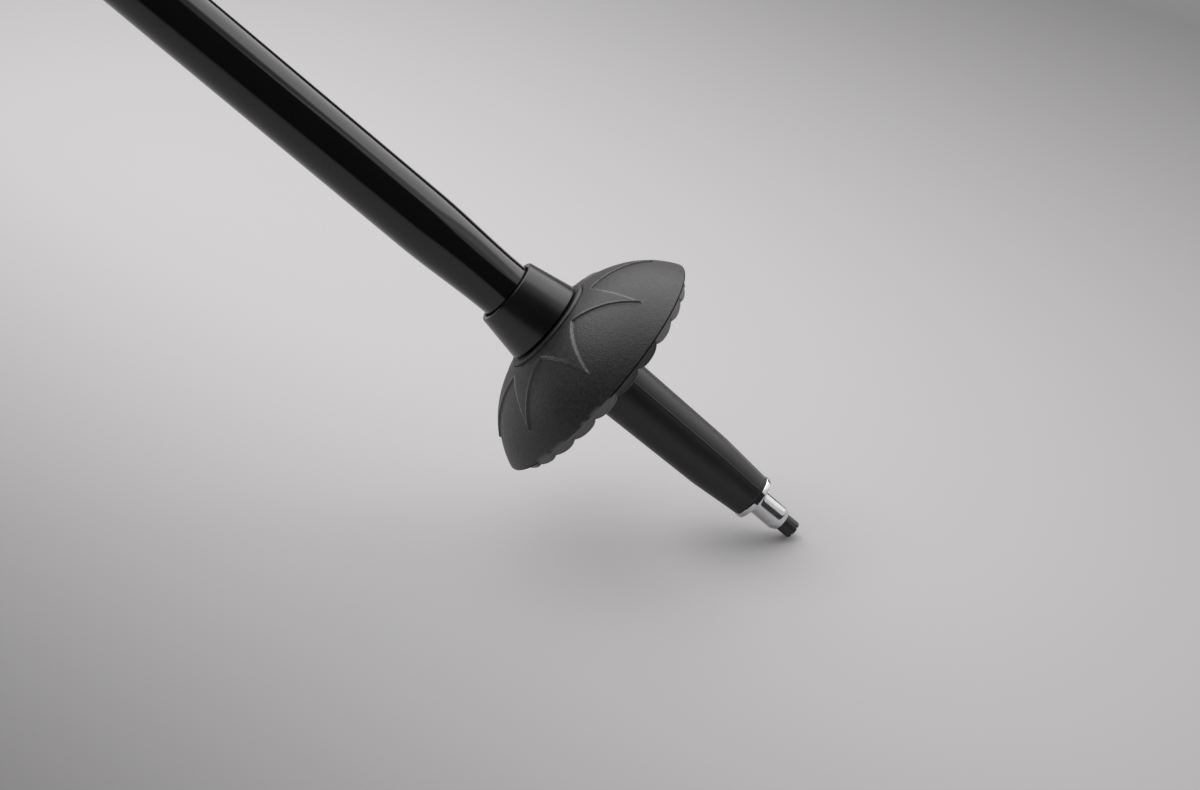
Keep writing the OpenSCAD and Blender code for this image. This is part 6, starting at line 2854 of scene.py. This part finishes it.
        # Emission colour of the painted glow.
        shining = graph.mixed(below, black, shade(self.paper, self.lamp_share))
        graph.link(shining, shader.inputs["Emission Color"])
        fade = graph.ramp(radius, self.reach * self.fades[0], self.reach * self.fades[1])
        behind = graph.node("NewGeometry").outputs["Backfacing"]
        mix = graph.node("MixShader")
        graph.link(graph.maths("MAXIMUM", fade, behind), mix.inputs[0])
        graph.link(shader.outputs[0], mix.inputs[1])
        graph.link(graph.node("BsdfTransparent").outputs[0], mix.inputs[2])
        graph.link(mix.outputs[0], graph.node("OutputMaterial").inputs["Surface"])
        return made

    @staticmethod
    def area_light(name: str, size: Point, level: float, place: Matrix) -> None:
        """Adds a large soft light that the camera doesn't see.

        Args:
            name: Name of the light.
            size: Its two sides in metres.
            level: Brightness of its face.
            place: Its place and direction in the part's axes.
        """
        data = bpy.data.lights.new(name, "AREA")
        data.shape = "RECTANGLE"
        data.size, data.size_y = size
        data.energy = level * math.pi * size[0] * size[1]
        made = bpy.data.objects.new(name, data)
        made.matrix_world = place
        made.visible_camera = False
        bpy.context.scene.collection.objects.link(made)

    def soft_light(self, name: str, at: Triple, facing: Triple, size: Point, level: float) -> None:
        """Adds a soft light that is placed in the camera's axes.

        Args:
            name: Name of the light.
            at: Its middle in the camera's axes, in metres.
            facing: Direction that it shines in.
            size: Its two sides in metres; the second lies along the view.
            level: Brightness of its face.
        """
        back = -self.shot.into_part(facing).normalized()
        depth = self.shot.into_part((0.0, 0.0, 1.0))
        across = depth.cross(back).normalized()
        self.area_light(name, size, level, placed(self.shot.into_part(at), across, depth, back))

    def grip_light(self) -> None:
        """Adds a soft light behind the grip, out of the photographed end's reach."""
        at = Vector(self.grip_at)
        turn = (at - Vector((0.0, 0.0, at.z))).to_track_quat("Z", "Y").to_matrix().to_4x4()
        self.area_light("behind_grip", self.grip_size, self.grip_level, Matrix.Translation(at) @ turn)

    def world(self) -> None:
        """Adds the room: a plain backdrop for the camera, dim for reflections."""
        world = bpy.data.worlds.new("room")
        bpy.context.scene.world = world
        graph = Graph(world)
        rays = graph.node("LightPath")
        seen = graph.node("Background")
        seen.inputs["Color"].default_value = (*self.backdrop, 1.0)
        dim = graph.node("Background")
        dim.inputs["Color"].default_value = (1.0, 1.0, 1.0, 1.0)
        level = graph.maths("MULTIPLY_ADD", rays.outputs["Is Glossy Ray"], self.room - self.fill, self.fill)
        graph.link(level, dim.inputs["Strength"])
        mix = graph.node("MixShader")
        graph.link(rays.outputs["Is Camera Ray"], mix.inputs[0])
        graph.link(dim.outputs[0], mix.inputs[1])
        graph.link(seen.outputs[0], mix.inputs[2])
        graph.link(mix.outputs[0], graph.node("OutputWorld").inputs["Surface"])

    def build(self) -> None:
        """Adds the camera, the floor, the lights and the room."""
        self.shot.camera()
        self.floor()
        (right, down), shining = self.key_at, (0.0, 1.0, 0.0)
        for i, (near, far, share) in enumerate(self.key_strips):
            self.soft_light(f"overhead_{i}", (right, down, (near + far) / 2), shining,
                            (self.key_w, far - near), self.key_level * share)
        near, far = self.key_strips[-1][0], self.key_strips[0][1]
        for i, (start, end, share) in enumerate(self.key_side):
            self.soft_light(f"beside_{i}", ((start + end) / 2, down, (near + far) / 2), shining,
                            (end - start, far - near), self.key_level * share)
        self.grip_light()
        self.soft_light("right_screen", self.side_at, (-1.0, 0.0, 0.0), self.side_size, self.side_level)
        self.world()
        bpy.context.scene.view_settings.view_transform = "Standard"


def main() -> None:
    """Builds every sub-assembly in order."""
    logging.basicConfig(level=logging.INFO, format="%(name)s: %(message)s")
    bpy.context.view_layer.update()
    Studio(Shot()).build()
    for assembly in (TipEnd(), Holder(), Basket(), Tubes(), Lock(), Grip(), Sling()):
        assembly.build()
        log.info("%s done", type(assembly).__name__)


if __name__ == "__main__":
    main()
